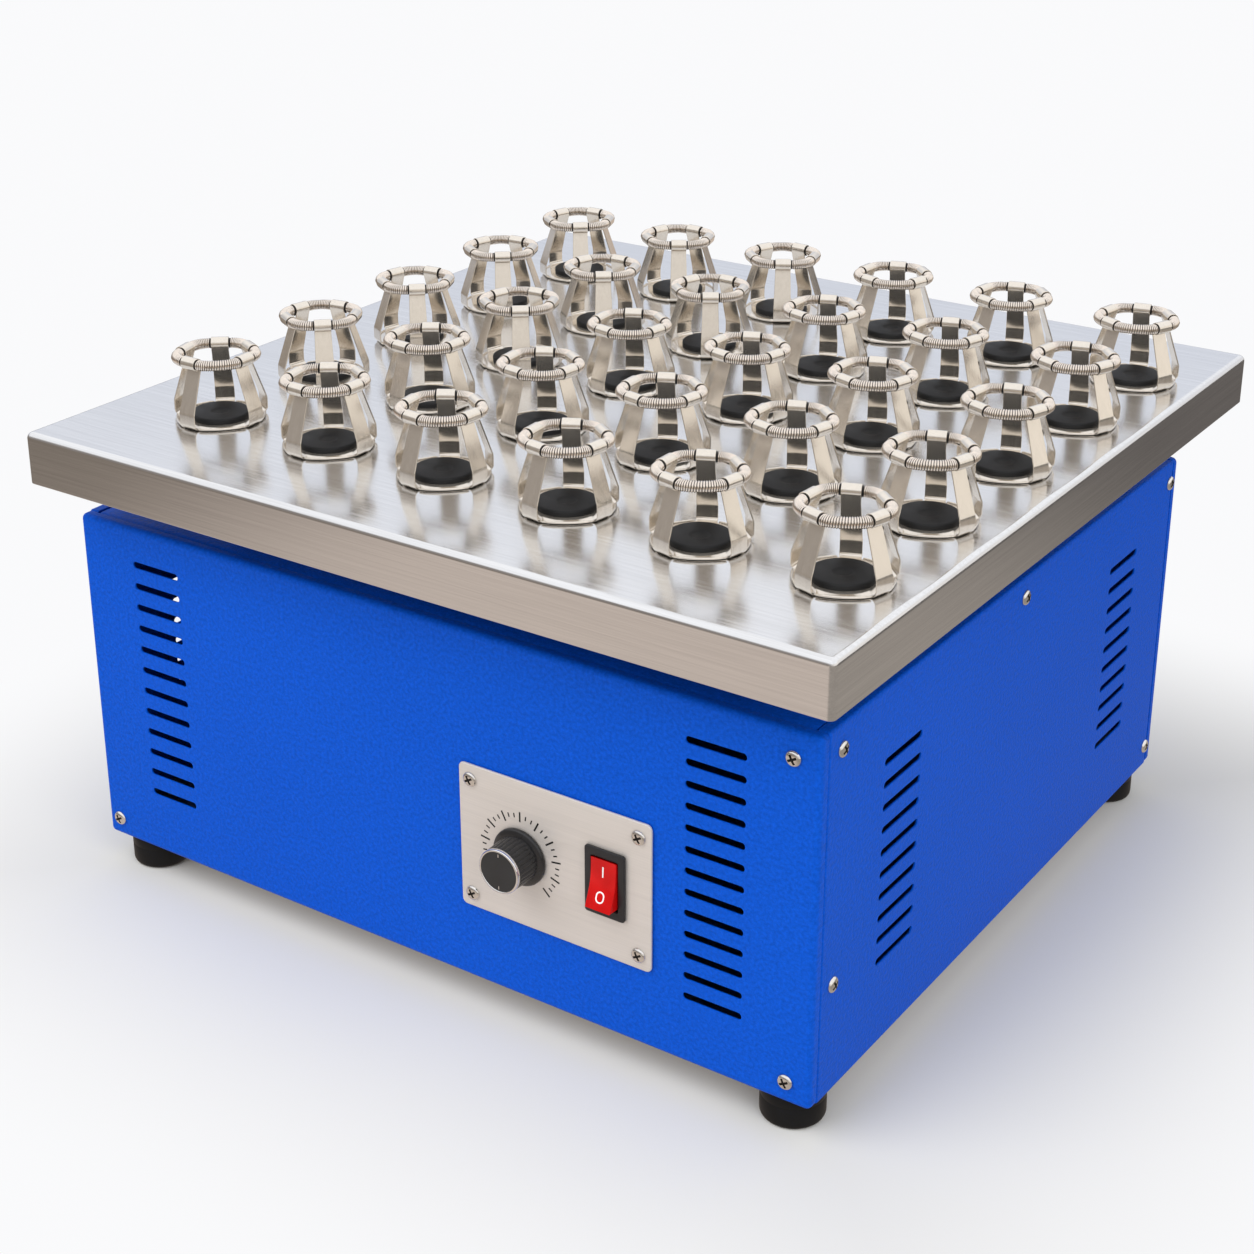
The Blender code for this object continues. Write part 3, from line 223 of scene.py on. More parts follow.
def plate(outlines, thickness, bevel=0.0, facets=2):
    """A flat solid about its mid-plane from outlines, of which inner ones are holes."""
    curve = bpy.data.curves.new("outline", "CURVE")
    curve.dimensions = "2D"
    curve.fill_mode = "BOTH"
    curve.extrude = thickness / 2 - bevel
    curve.bevel_depth = bevel
    curve.bevel_resolution = facets
    curve.offset = -bevel
    for outline in outlines:
        spline = curve.splines.new("POLY")
        spline.points.add(len(outline) - 1)
        for point, (x, y) in zip(spline.points, outline):
            point.co = (x, y, 0, 1)
        spline.use_cyclic_u = True
    mesh = settled(link("outline", curve))
    shape = bmesh.new()
    shape.from_mesh(mesh)
    bmesh.ops.remove_doubles(shape, verts=shape.verts, dist=1e-6)
    return smooth(to_mesh(shape), 50)


def cube(size, place=(0, 0, 0), bevel=0.0):
    """A box about a place, with rounded edges where a bevel is given."""
    shape = bmesh.new()
    matrix = Matrix.Translation(place) @ Matrix.Diagonal((*size, 1))
    bmesh.ops.create_cube(shape, size=1, matrix=matrix)
    if bevel:
        bmesh.ops.bevel(shape, geom=shape.edges[:], offset=bevel, segments=3, profile=0.5,
                        affect="EDGES")
    return smooth(to_mesh(shape), 50)


def with_modifiers(mesh, cutters=(), bevel=0.0, facets=2, sheet=0.0):
    """A mesh thickened to a sheet, cut by others, and given finely rounded edges."""
    made = link("work", mesh)
    if sheet:
        wall = made.modifiers.new("sheet", "SOLIDIFY")
        wall.thickness = sheet
        wall.offset = -1
        wall.use_even_offset = True
    tools = []
    for cutter in cutters:
        tools.append(link("cutter", cutter))
        step = made.modifiers.new("cut", "BOOLEAN")
        step.operation = "DIFFERENCE"
        step.solver = "EXACT"
        step.object = tools[-1]
    if bevel:
        edge = made.modifiers.new("edges", "BEVEL")
        edge.width = bevel
        edge.segments = facets
        edge.limit_method = "ANGLE"
        edge.angle_limit = math.radians(50)
    mesh = settled(made)
    for old in tools:
        bpy.data.objects.remove(old)
    mesh = smooth(mesh, 50)
    made = link("work", mesh)
    weigh = made.modifiers.new("normals", "WEIGHTED_NORMAL")
    weigh.keep_sharp = True
    weigh.weight = 100
    return settled(made)


def pan(width, depth, height, radius, facets):
    """The outer skin of a folded pan about the middle of its outer face, which looks up."""
    shape = bmesh.new()
    middle = Matrix.Translation((0, 0, -height / 2))
    bmesh.ops.create_cube(shape, size=1, matrix=middle @ Matrix.Diagonal((width, depth, height, 1)))
    floor = [face for face in shape.faces if face.normal.z < -0.5]
    bmesh.ops.delete(shape, geom=floor, context="FACES_ONLY")
    folds = [edge for edge in shape.edges if len(edge.link_faces) > 1]
    bmesh.ops.bevel(shape, geom=folds, offset=radius, segments=facets, profile=0.5, affect="EDGES")
    return to_mesh(shape)


def tube(path, radii, sides):
    """A tube along points; radii gives one radius or a list round the section for each point."""
    shape = bmesh.new()
    rings = []
    for index, point in enumerate(path):
        before = path[max(index - 1, 0)]
        after = path[min(index + 1, len(path) - 1)]
        ahead = (after - before).normalized()
        side = ahead.cross(Vector((0, 0, 1))).normalized()
        up = side.cross(ahead)
        ring = []
        for step in range(sides):
            turn = math.tau * step / sides
            reach = radii[index][step] if isinstance(radii[index], list) else radii[index]
            out = side * math.cos(turn) + up * math.sin(turn)
            ring.append(shape.verts.new(point + out * reach))
        rings.append(ring)
    return skinned(shape, rings, 70)


def strip(path, widths, sheet, chamfer):
    """A bent strip whose middle line runs in X and Z, with chamfered edges along Y."""
    shape = bmesh.new()
    rings = []
    thick = sheet / 2
    for index, (x, z) in enumerate(path):
        half = widths[index] / 2
        section = [(half - chamfer, thick), (half, thick - chamfer), (half, chamfer - thick),
                   (half - chamfer, -thick), (chamfer - half, -thick), (-half, chamfer - thick),
                   (-half, thick - chamfer), (chamfer - half, thick)]
        x0, z0 = path[max(index - 1, 0)]
        x1, z1 = path[min(index + 1, len(path) - 1)]
        run = math.hypot(x1 - x0, z1 - z0)
        out_x, out_z = (z1 - z0) / run, -(x1 - x0) / run
        rings.append([shape.verts.new((x + out_x * off, y, z + out_z * off)) for y, off in section])
    return skinned(shape, rings, 40)


# Materials

class Look:
    """A Principled material and short ways to add nodes to it."""

    def __init__(self, name, colour, roughness, metallic, **sockets):
        self.material = bpy.data.materials.new(name)
        self.material.use_nodes = True
        self.tree = self.material.node_tree
        self.shader = self.tree.nodes["Principled BSDF"]
        self.shader.inputs["Base Color"].default_value = (*colour, 1)
        self.shader.inputs["Roughness"].default_value = roughness
        self.shader.inputs["Metallic"].default_value = metallic
        for socket, value in sockets.items():
            self.shader.inputs[socket.replace("_", " ")].default_value = value
        self.place = self.node("ShaderNodeTexCoord").outputs["Object"]
        self.height = None

    def node(self, kind, **settings):
        """Adds a node."""
        made = self.tree.nodes.new(kind)
        for setting, value in settings.items():
            setattr(made, setting, value)
        return made

    def wire(self, source, target):
        """Links a socket to another, or sets its value."""
        if hasattr(source, "is_linked"):
            self.tree.links.new(source, target)
        else:
            target.default_value = source

    def math(self, operation, first, second=0.0):
        """A Math node's result."""
        made = self.node("ShaderNodeMath", operation=operation)
        self.wire(first, made.inputs[0])
        self.wire(second, made.inputs[1])
        return made.outputs[0]

    def stretched(self, scale):
        """The object's place, stretched along the axes."""
        made = self.node("ShaderNodeMapping")
        self.wire(self.place, made.inputs["Vector"])
        made.inputs["Scale"].default_value = scale
        return made.outputs["Vector"]

    def noise(self, scale, detail, roughness=0.55, vector=None):
        """A noise value."""
        made = self.node("ShaderNodeTexNoise")
        self.wire(vector or self.place, made.inputs["Vector"])
        made.inputs["Scale"].default_value = scale
        made.inputs["Detail"].default_value = detail
        made.inputs["Roughness"].default_value = roughness
        return made.outputs["Fac"]

    def spread(self, value, low, high, start=0.3, end=0.7):
        """A value mapped from one range to another."""
        made = self.node("ShaderNodeMapRange")
        self.wire(value, made.inputs["Value"])
        made.inputs["From Min"].default_value = start
        made.inputs["From Max"].default_value = end
        made.inputs["To Min"].default_value = low
        made.inputs["To Max"].default_value = high
        return made.outputs["Result"]

    def blend(self, share, first, second):
        """Two colours or values mixed by a share."""
        made = self.node("ShaderNodeMix", data_type="RGBA")
        self.wire(share, made.inputs["Factor"])
        for value, target in ((first, made.inputs[6]), (second, made.inputs[7])):
            self.wire(value if hasattr(value, "is_linked") else (*value, 1), target)
        return made.outputs[2]

    def colour(self, value):
        """Sets the base colour."""
        self.wire(value, self.shader.inputs["Base Color"])

    def rough(self, value):
        """Sets the roughness."""
        self.wire(value, self.shader.inputs["Roughness"])

    def bump(self, height, distance):
        """Adds a bump of this depth in metres."""
        made = self.node("ShaderNodeBump")
        self.wire(height, made.inputs["Height"])
        made.inputs["Distance"].default_value = distance
        if self.height:
            self.wire(self.height, made.inputs["Normal"])
        self.height = made.outputs["Normal"]
        self.wire(self.height, self.shader.inputs["Normal"])


def brushed(name, colour, roughness, along, fine, coarse, depth, tone, metallic=1.0):
    """Brushed metal whose grain runs along one axis of the object."""
    look = Look(name, colour, roughness, metallic)
    thin = [fine, fine, fine]
    wide = [coarse, coarse, coarse]
    thin[along] = fine / 60
    wide[along] = coarse / 60
    lines = look.noise(1, 2, 0.6, look.stretched(thin))
    bands = look.noise(1, 3, 0.6, look.stretched(wide))
    both = look.math("ADD", look.math("MULTIPLY", lines, 0.5), look.math("MULTIPLY", bands, 0.5))
    darker = tuple(part * (1 - tone) for part in colour)
    lighter = tuple(min(1, part * (1 + tone)) for part in colour)
    look.colour(look.blend(look.spread(both, 0, 1, 0.35, 0.65), darker, lighter))
    look.rough(look.spread(both, roughness * 0.8, roughness * 1.25, 0.35, 0.65))
    look.bump(both, depth)
    return look.material


def tray_steel():
    """Brushed stainless sheet whose grain follows each side of the tray."""
    look = Look("tray_steel", (0.74, 0.74, 0.745), 0.2, 1.0, Anisotropic=0.4)
    facing = look.node("ShaderNodeTexCoord").outputs["Normal"]
    split = look.node("ShaderNodeSeparateXYZ")
    look.wire(facing, split.inputs[0])
    sideways = look.math("GREATER_THAN", look.math("ABSOLUTE", split.outputs["X"]), 0.7)
    grains = []
    for fine, coarse in (((14, 2100, 2100), (5, 420, 420)), ((2100, 14, 2100), (420, 5, 420))):
        lines = look.math("MULTIPLY", look.noise(1, 2, 0.6, look.stretched(fine)), 0.62)
        bands = look.math("MULTIPLY", look.noise(1, 2, 0.5, look.stretched(coarse)), 0.38)
        grains.append(look.math("ADD", lines, bands))
    picked = look.node("ShaderNodeMix", data_type="FLOAT")
    look.wire(sideways, picked.inputs[0])
    look.wire(grains[0], picked.inputs[2])
    look.wire(grains[1], picked.inputs[3])
    grain = picked.outputs[0]
    share = look.spread(grain, 0, 1, 0.35, 0.65)
    look.colour(look.blend(share, (0.68, 0.68, 0.685), (0.80, 0.80, 0.805)))
    cloud = look.spread(look.noise(9, 2, 0.5), -0.02, 0.02)
    look.rough(look.math("ADD", look.spread(grain, 0.13, 0.21, 0.35, 0.65), cloud))
    look.bump(grain, 0.000018)
    axis = look.blend(sideways, (1, 0, 0), (0, 1, 0))
    turned_axis = look.node("ShaderNodeVectorTransform", vector_type="VECTOR",
                            convert_from="OBJECT", convert_to="WORLD")
    look.wire(axis, turned_axis.inputs[0])
    look.wire(turned_axis.outputs[0], look.shader.inputs["Tangent"])
    return look.material


def powder_coat(name, colour):
    """Powder coat with its orange peel, whose hollows are painted a little darker as painted shade
    and whose crests lighter as painted highlight.
    """
    look = Look(name, colour, 0.42, 0.0, Specular_IOR_Level=0.06)
    peel = look.noise(420, 3, 0.6)
    grit = look.noise(1100, 2, 0.6)
    cloud = look.noise(5, 2, 0.5)
    darker = tuple(part * 0.80 for part in colour)
    lighter = tuple(part * 1.18 + 0.002 for part in colour)
    # Tone follows the peel's height, darker in its hollows as painted shade and lighter on its
    # crests as painted highlight, with a faint random cloud.
    tone = look.math("ADD", look.spread(peel, 0, 0.85, 0.32, 0.68), look.spread(cloud, 0, 0.15))
    look.colour(look.blend(tone, darker, lighter))
    look.rough(look.spread(peel, 0.36, 0.50))
    look.bump(peel, 0.0005)
    look.bump(grit, 0.00008)
    return look.material


def plastic(name, colour, roughness, grain=900, depth=0.00002, coat=0.0, shine=0.35):
    """Moulded plastic or rubber with a fine grain."""
    look = Look(name, colour, roughness, 0.0, Coat_Weight=coat, Specular_IOR_Level=shine)
    fine = look.noise(grain, 2, 0.6)
    cloud = look.noise(60, 2, 0.5)
    lighter = tuple(part * 1.25 + 0.002 for part in colour)
    look.colour(look.blend(look.spread(cloud, 0, 1), colour, lighter))
    look.rough(look.spread(cloud, roughness * 0.88, roughness * 1.12))
    look.bump(fine, depth)
    return look.material


def cast(name, colour, roughness, metallic):
    """Cast or painted metal with a rough skin."""
    look = Look(name, colour, roughness, metallic)
    skin = look.noise(260, 4, 0.6)
    cloud = look.noise(30, 3, 0.5)
    darker = tuple(part * 0.8 for part in colour)
    look.colour(look.blend(look.spread(cloud, 0, 1), darker, colour))
    look.rough(look.spread(skin, roughness * 0.85, min(1, roughness * 1.15)))
    look.bump(skin, 0.00012)
    return look.material


def zinc_plate():
    """Zinc plate with its faint crystals."""
    look = Look("zinc_plate", (0.50, 0.52, 0.54), 0.45, 1.0)
    crystals = look.node("ShaderNodeTexVoronoi")
    look.wire(look.place, crystals.inputs["Vector"])
    crystals.inputs["Scale"].default_value = 90
    tone = look.node("ShaderNodeSeparateColor")
    look.wire(crystals.outputs["Color"], tone.inputs[0])
    look.colour(look.blend(tone.outputs[0], (0.42, 0.44, 0.46), (0.58, 0.60, 0.62)))
    look.rough(look.spread(tone.outputs[1], 0.35, 0.55, 0, 1))
    look.bump(look.noise(500, 2), 0.00003)
    return look.material


def pad_rubber():
    """The clamps' black rubber pads."""
    look = Look("pad_rubber", (0.016, 0.016, 0.017), 0.55, 0.0, Specular_IOR_Level=0.16)
    cloud = look.noise(70, 3, 0.5)
    look.colour(look.blend(look.spread(cloud, 0, 1), (0.012, 0.012, 0.013), (0.024, 0.024, 0.025)))
    look.rough(look.spread(cloud, 0.45, 0.62))
    look.bump(look.noise(1100, 2), 0.00003)
    return look.material


TRAY_STEEL = tray_steel()
BLUE = powder_coat("blue_powder_coat", (0.0015, 0.086, 0.585))
CLAMP_STEEL = brushed("clamp_steel", (0.76, 0.70, 0.62), 0.15, 2, 1500, 300, 0.000004, 0.04, 0.86)
SPRING_STEEL = brushed("spring_steel", (0.78, 0.70, 0.62), 0.22, 2, 900, 300, 0.000003, 0.06)
# A near-black material that stands for shade: in the clamps' sleeves and springs and on the floors
# of the screws' cross recesses it is painted shade.
PAINTED_SHADE_BLACK = plastic("painted_shade_black", (0.010, 0.008, 0.007), 0.6)
PAD_RUBBER = pad_rubber()
PLATE_METAL = brushed("plate_metal", (0.70, 0.65, 0.61), 0.40, 0, 1100, 240, 0.00001, 0.05, 0.35)
SCREW_STEEL = brushed("screw_steel", (0.74, 0.72, 0.69), 0.13, 2, 700, 250, 0.000004, 0.08)
CHROME = brushed("chrome_ring", (0.80, 0.80, 0.80), 0.10, 2, 900, 300, 0.000002, 0.04)
KNOB_GLOSS = plastic("knob_gloss", (0.012, 0.012, 0.013), 0.26, 700, 0.000006, 0.3)
KNOB_CAP = plastic("knob_cap", (0.022, 0.022, 0.023), 0.42, 1400, 0.00001)
BEZEL_BLACK = plastic("bezel_black", (0.016, 0.016, 0.018), 0.34, 1200, 0.00001)
RED = plastic("rocker_red", (0.50, 0.003, 0.003), 0.24, 500, 0.000003, 0.10, 0.18)
MARK_WHITE = plastic("mark_white", (0.85, 0.85, 0.85), 0.5)
DIAL_INK = plastic("dial_ink", (0.010, 0.010, 0.010), 0.6, shine=0.1)
FOOT_RUBBER = plastic("foot_rubber", (0.006, 0.006, 0.0065), 0.5, 600, 0.00004, 0.0, 0.15)
BELT_RUBBER = plastic("belt_rubber", (0.012, 0.012, 0.012), 0.75, 500, 0.00008)
TURNED_STEEL = brushed("turned_steel", (0.56, 0.56, 0.57), 0.28, 0, 900, 260, 0.00001, 0.06)
ALUMINIUM = cast("cast_aluminium", (0.66, 0.67, 0.68), 0.42, 1.0)
ZINC = zinc_plate()
CAST_IRON = cast("cast_iron", (0.16, 0.16, 0.17), 0.6, 0.8)
DARK_PAINT = cast("dark_paint", (0.035, 0.035, 0.04), 0.45, 0.0)
BRASS = brushed("pin_brass", (0.62, 0.50, 0.28), 0.25, 2, 900, 260, 0.000004, 0.06)


# Platform

def make_tray():
    """The stainless tray with its rolled top edges and corners."""
    skin = pan(TRAY_SIZE, TRAY_SIZE, TRAY_HEIGHT, TRAY_ROLL, 8)
    mesh = with_modifiers(skin, (), 0.0007, 3, TRAY_SHEET)
    mesh.materials.append(TRAY_STEEL)
    made = link("tray_shell", mesh, (0, 0, TRAY_TOP))
    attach(made, "platform")
    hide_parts("platform_tray")


# Sizes of a clamp in millimetres, above the tray's top, and its turns in degrees
BASE_SHEET = 1.1
SPRING_RADIUS = 23.8
SLEEVE_RADIUS = 3.85
SPRING_HEIGHT = 44.2
SPRING_GAP = 1.1
RIB_PITCH = 1.3
TOP_WIDTH = 11.6
FOOT_WIDTH = 13.2
LEG_SHEET = 0.85
LEG_RADIUS = 31.0
FOOT_BEND = 3.4
KNEE_HEIGHT = 10.6
EDGE_RADIUS = 48.0
PAD_RADIUS = 19.6
OPEN_LEGS = (-46, 46, 110, 172, 238)
EVEN_LEGS = (0, 72, 144, 216, 288)
CLAMP_TURN = -61
COLUMN_TURN = 3.4
ROW_TURN = -2


def leg_path():
    """The middle line of a leg: foot, bend, knee and the curl round the spring."""
    low = BASE_SHEET / 2
    path = [(17.0, low), (22.0, low)]
    path += arc((LEG_RADIUS - FOOT_BEND, low + FOOT_BEND), FOOT_BEND, -90, 0, 7)
    knee = Vector((LEG_RADIUS, KNEE_HEIGHT))
    centre = Vector((SPRING_RADIUS, SPRING_HEIGHT))
    run = centre - knee
    lean = math.atan2(run.y, run.x) + math.asin(SLEEVE_RADIUS / run.length)
    ahead = Vector((math.cos(lean), math.sin(lean)))
    bend = 9.0
    cut = bend * math.tan((lean - math.pi / 2) / 2)
    lean_degrees = math.degrees(lean)
    path += arc((LEG_RADIUS - bend, knee.y - cut), bend, 0, lean_degrees - 90, 5)
    reach = math.sqrt(run.length_squared - SLEEVE_RADIUS ** 2)
    for share in (0.2, 0.5, 0.8):
        path.append(tuple(knee + ahead * reach * share))
    path += arc(centre, SLEEVE_RADIUS, lean_degrees + 90, lean_degrees + 90 - 300, 24)
    return path


def turned(x, y, degrees):
    """A point turned about the origin."""
    turn = math.radians(degrees)
    cosine = math.cos(turn)
    sine = math.sin(turn)
    return Vector((x * cosine - y * sine, x * sine + y * cosine))


def edge_arc(start, end):
    """Points of the base's edge between two legs, a flat arc that bulges outward."""
    first = turned(28.7, FOOT_WIDTH / 2 + 0.9, start)
    last = turned(28.7, -FOOT_WIDTH / 2 - 0.9, end)
    middle = (first + last) / 2
    half = (last - first).length / 2
    centre = middle - middle.normalized() * math.sqrt(EDGE_RADIUS ** 2 - half ** 2)
    steps = 14
    points = []
    for step in range(steps + 1):
        point = first.lerp(last, step / steps) - centre
        points.append(centre + point.normalized() * EDGE_RADIUS)
    return points


def spring_meshes(start, end):
    """The spring between the sleeves of two legs, and a near-black tube inside it as painted shade
    in its rib valleys.
    """
    half = TOP_WIDTH / 2 + SPRING_GAP
    first = turned(SPRING_RADIUS, half, start)
    last = turned(SPRING_RADIUS, -half, end)
    chord = (last - first).length
    handle = chord * (0.24 if end - start > 80 else 0.36)
    leave = first + turned(0, handle, start)
    arrive = last - turned(0, handle, end)
    ribs = round(chord * 1.04 / RIB_PITCH)
    sides = 12
    path = []
    radii = []
    for step in range(ribs * 4 + 1):
        share = step / (ribs * 4)
        rest = 1 - share
        point = (first * rest ** 3 + leave * 3 * rest ** 2 * share + arrive * 3 * rest * share ** 2
                 + last * share ** 3)
        path.append(Vector((point.x * MM, point.y * MM, SPRING_HEIGHT * MM)))
        waves = [math.cos(math.tau * (share * ribs - side / sides)) for side in range(sides)]
        radii.append([(3.36 + 0.34 * wave) * MM for wave in waves])
    inner = path[::2]
    # The inner tube is near black and shows between the ribs, as painted shade in the spring's
    # valleys.
    return tube(path, radii, sides), tube(inner, [3.18 * MM] * len(inner), sides)


def clamp_mesh(name, angles):
    """A flask clamp: base, bead between the legs, legs with curled tops, garter spring and pad."""
    path = leg_path()
    widths = []
    for _, z in path:
        share = min(1.0, max(0.0, (z - KNEE_HEIGHT) / (SPRING_HEIGHT - 8 - KNEE_HEIGHT)))
        widths.append((FOOT_WIDTH + (TOP_WIDTH - FOOT_WIDTH) * share) * MM)
    leg = strip(metres(path), widths, LEG_SHEET * MM, 0.18 * MM)
    # A near-black tube through each leg's curl and past the curl's ends, as painted shade in the
    # sleeve and in the gaps to the spring.
    reach = TOP_WIDTH / 2 + SPRING_GAP
    ends = [Vector((SPRING_RADIUS, side * reach, SPRING_HEIGHT)) * MM for side in (-1, 1)]
    sleeve_shade = tube(ends, [3.3 * MM] * 2, 20)
    pieces = []
    outline = []
    for start, end in zip(angles, angles[1:] + (angles[0] + 360,)):
        whole = math.radians(start)
        pieces.append((moved(leg.copy(), turn=(0, 0, whole)), 0))
        pieces.append((moved(sleeve_shade.copy(), turn=(0, 0, whole)), 3))
        # The spring's near-black inner tube is painted shade in its rib valleys.
        spring, dark = spring_meshes(start, end)
        pieces.append((spring, 1))
        pieces.append((dark, 3))
        edge = edge_arc(start, end)
        outline += [turned(27.4, side * FOOT_WIDTH / 2, start) for side in (-1, 1)]
        outline += [point - point.normalized() * 0.7 for point in edge]
        bead = [Vector((point.x * MM, point.y * MM, 1.15 * MM)) for point in edge]
        thin = [0.35 * MM, 0.62 * MM] + [0.80 * MM] * (len(bead) - 4) + [0.62 * MM, 0.35 * MM]
        pieces.append((tube(bead, thin, 8), 0))
    base = plate([metres(outline)], BASE_SHEET * MM, 0.2 * MM)
    pieces.append((moved(base, (0, 0, BASE_SHEET / 2 * MM)), 0))
    rim = PAD_RADIUS
    pad = [(rim - 0.6, 0.9), (rim - 0.1, 1.2), (rim, 1.7), (rim, 3.7), (rim - 0.15, 4.3),
           (rim - 0.7, 4.7), (rim - 1.8, 4.82), (12, 4.72), (7.2, 4.6), (6.0, 4.42), (5.2, 4.1),
           (3.8, 3.9), (0, 3.85)]
    pieces.append((lathe(metres(pad), 64, 60), 2))
    return joined(pieces, [CLAMP_STEEL, SPRING_STEEL, PAD_RUBBER, PAINTED_SHADE_BLACK], name)


def make_clamps():
    """Thirty clamps: some turn the wide gap between two legs to the camera, the others a leg."""
    open_clamp = clamp_mesh("open_clamp", OPEN_LEGS)
    even_clamp = clamp_mesh("even_clamp", EVEN_LEGS)
    for row in range(CLAMP_ROWS):
        for column in range(CLAMP_COLUMNS):
            number = row * CLAMP_COLUMNS + column + 1
            x = CLAMP_MIDDLE[0] + (column - (CLAMP_COLUMNS - 1) / 2) * CLAMP_PITCH[0]
            y = CLAMP_MIDDLE[1] + (row - (CLAMP_ROWS - 1) / 2) * CLAMP_PITCH[1]
            turn = CLAMP_TURN + COLUMN_TURN * (CLAMP_COLUMNS - 1 - column) + ROW_TURN * row
            mesh = open_clamp if row <= column or column > 2 else even_clamp
            made = link("sprung_clamp_%02d" % number, mesh, (x, y, CLAMP_SEAT),
                        (0, 0, math.radians(turn)))
            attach(made, "platform")
            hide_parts("flask_clamp_%02d" % number)


# Cabinet

def slot_column(count, length, x, bottom, top):
    """Outlines of a column of vents with round ends, measured up from the panel's lower edge."""
    outlines = []
    for index in range(count):
        y = bottom + (top - bottom) * index / (count - 1) - CABINET_HEIGHT / 2
        outlines.append(rounded(length, VENT_HEIGHT, VENT_RADIUS, (x, y)))
    return outlines


def knob_bore(x, y):
    """The outline of the bore for the knob's shaft."""
    return arc((x, y), 0.0056, 0, 345, 23)


def switch_opening(x, y):
    """The outline of the opening for the switch's body."""
    return rounded(0.0258, 0.0424, 0.0008, (x, y), 2)


def make_panel(name, width, radius, place, turn, outlines):
    """A folded panel of the cabinet with its openings."""
    skin = pan(width, CABINET_HEIGHT, PANEL_FOLD, radius, 5)
    mesh = with_modifiers(skin, [plate(outlines, 0.010)], 0.0004, 2, PANEL_SHEET)
    mesh.materials.append(BLUE)
    made = link(name + "_folded", mesh, place, turn)
    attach(made, "cabinet")
    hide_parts(name)


def make_panels():
    """The four panels."""
    edge = CABINET_WIDTH / 2 - 0.048 - FRONT_VENT / 2
    front = slot_column(12, FRONT_VENT, -edge, 0.048, 0.2215)
    front += slot_column(13, FRONT_VENT, edge, 0.048, 0.2215)
    front.append(knob_bore(KNOB_X - MIDDLE.x, KNOB_Z - MIDDLE_Z))
    front.append(switch_opening(SWITCH_X - MIDDLE.x, SWITCH_Z - MIDDLE_Z))
    make_panel("front_panel", CABINET_WIDTH, PANEL_CORNER, (MIDDLE.x, FRONT_FACE, MIDDLE_Z),
               UPRIGHT_FRONT, front)
    rear = [rounded(0.0283, 0.0213, 0.0008, (INLET_X, INLET_Z - CABINET_HEIGHT / 2), 2)]
    make_panel("rear_panel", CABINET_WIDTH, PANEL_CORNER, (MIDDLE.x, REAR_FACE, MIDDLE_Z),
               UPRIGHT_REAR, rear)
    width = CABINET_DEPTH - (PANEL_FOLD + PANEL_SEAM) * 2
    near = CABINET_DEPTH / 2 - 0.077 - SIDE_VENT / 2
    far = CABINET_DEPTH / 2 - 0.068 - SIDE_VENT / 2
    for name, side, face, turn in (("side_panel_left", -1, LEFT_FACE, UPRIGHT_LEFT),
                                   ("side_panel_right", 1, RIGHT_FACE, UPRIGHT_RIGHT)):
        outlines = slot_column(10, SIDE_VENT, -side * near, 0.061, 0.198)
        outlines += slot_column(10, SIDE_VENT, side * far, 0.061, 0.198)
        make_panel(name, width, 0.002, (face, MIDDLE.y, MIDDLE_Z), turn, outlines)


def screw_mesh(radius, height):
    """A pan-head screw with a cross recess, whose floor is a near-black piece as painted shade,
    standing up along Z.
    """
    dome = [(0, -0.0010), (radius * 0.96, -0.0010), (radius, 0.0002),
            (radius * 0.99, height * 0.30), (radius * 0.90, height * 0.60),
            (radius * 0.72, height * 0.82), (radius * 0.45, height * 0.96), (0, height)]
    head = lathe(dome, 40, 60)
    cross = []
    recess_shade = []
    for turn in (CROSS_TURN, CROSS_TURN + math.pi / 2):
        bar = cube((radius * 1.24, radius * 0.30, height * 1.3), (0, 0, height * 0.95))
        cross.append(moved(bar, turn=(0, 0, turn)))
        # Near-black bars low in the recess, as painted shade on its floor.
        floor = cube((radius * 1.22, radius * 0.28, height * 0.1), (0, 0, height * 0.33))
        recess_shade.append((moved(floor, turn=(0, 0, turn)), 1))
    shape = with_modifiers(head, cross, 0.00008, 2)
    return joined([(shape, 0)] + recess_shade, [SCREW_STEEL, PAINTED_SHADE_BLACK], "cross_screw")


def make_screws():
    """The screws of the panels and the control plate."""
    big = screw_mesh(0.0052, 0.0027)
    small = screw_mesh(0.0050, 0.0024)
    low = CABINET_BOTTOM
    spots = []
    for x, z in ((0.5622, 0.2309), (0.5633, 0.0154), (0.0118, 0.0144)):
        spots.append((big, (LEFT_FACE + x, FRONT_FACE, low + z), UPRIGHT_FRONT, "front"))
    for x in (0.0122, 0.290, 0.5678):
        for z in (0.0150, 0.2325):
            spots.append((big, (LEFT_FACE + x, REAR_FACE, low + z), UPRIGHT_REAR, "rear"))
    for y, z in ((0.0234, 0.2318), (0.0221, 0.0772), (0.2632, 0.2339), (0.5090, 0.2319),
                 (0.5086, 0.0174)):
        spots.append((big, (RIGHT_FACE, FRONT_FACE + y, low + z), UPRIGHT_RIGHT, "right"))
        spots.append((big, (LEFT_FACE, FRONT_FACE + y, low + z), UPRIGHT_LEFT, "left"))
    for x in (PLATE_X - 0.063, PLATE_X + 0.063):
        for z in (PLATE_Z - 0.0408, PLATE_Z + 0.0408):
            spots.append((small, (x, PLATE_FACE, z), UPRIGHT_FRONT, "plate"))
    for number, (mesh, place, turn, side) in enumerate(spots, 1):
        made = link("screw_%s_%02d" % (side, number), mesh, place, turn)
        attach(made, "cabinet")


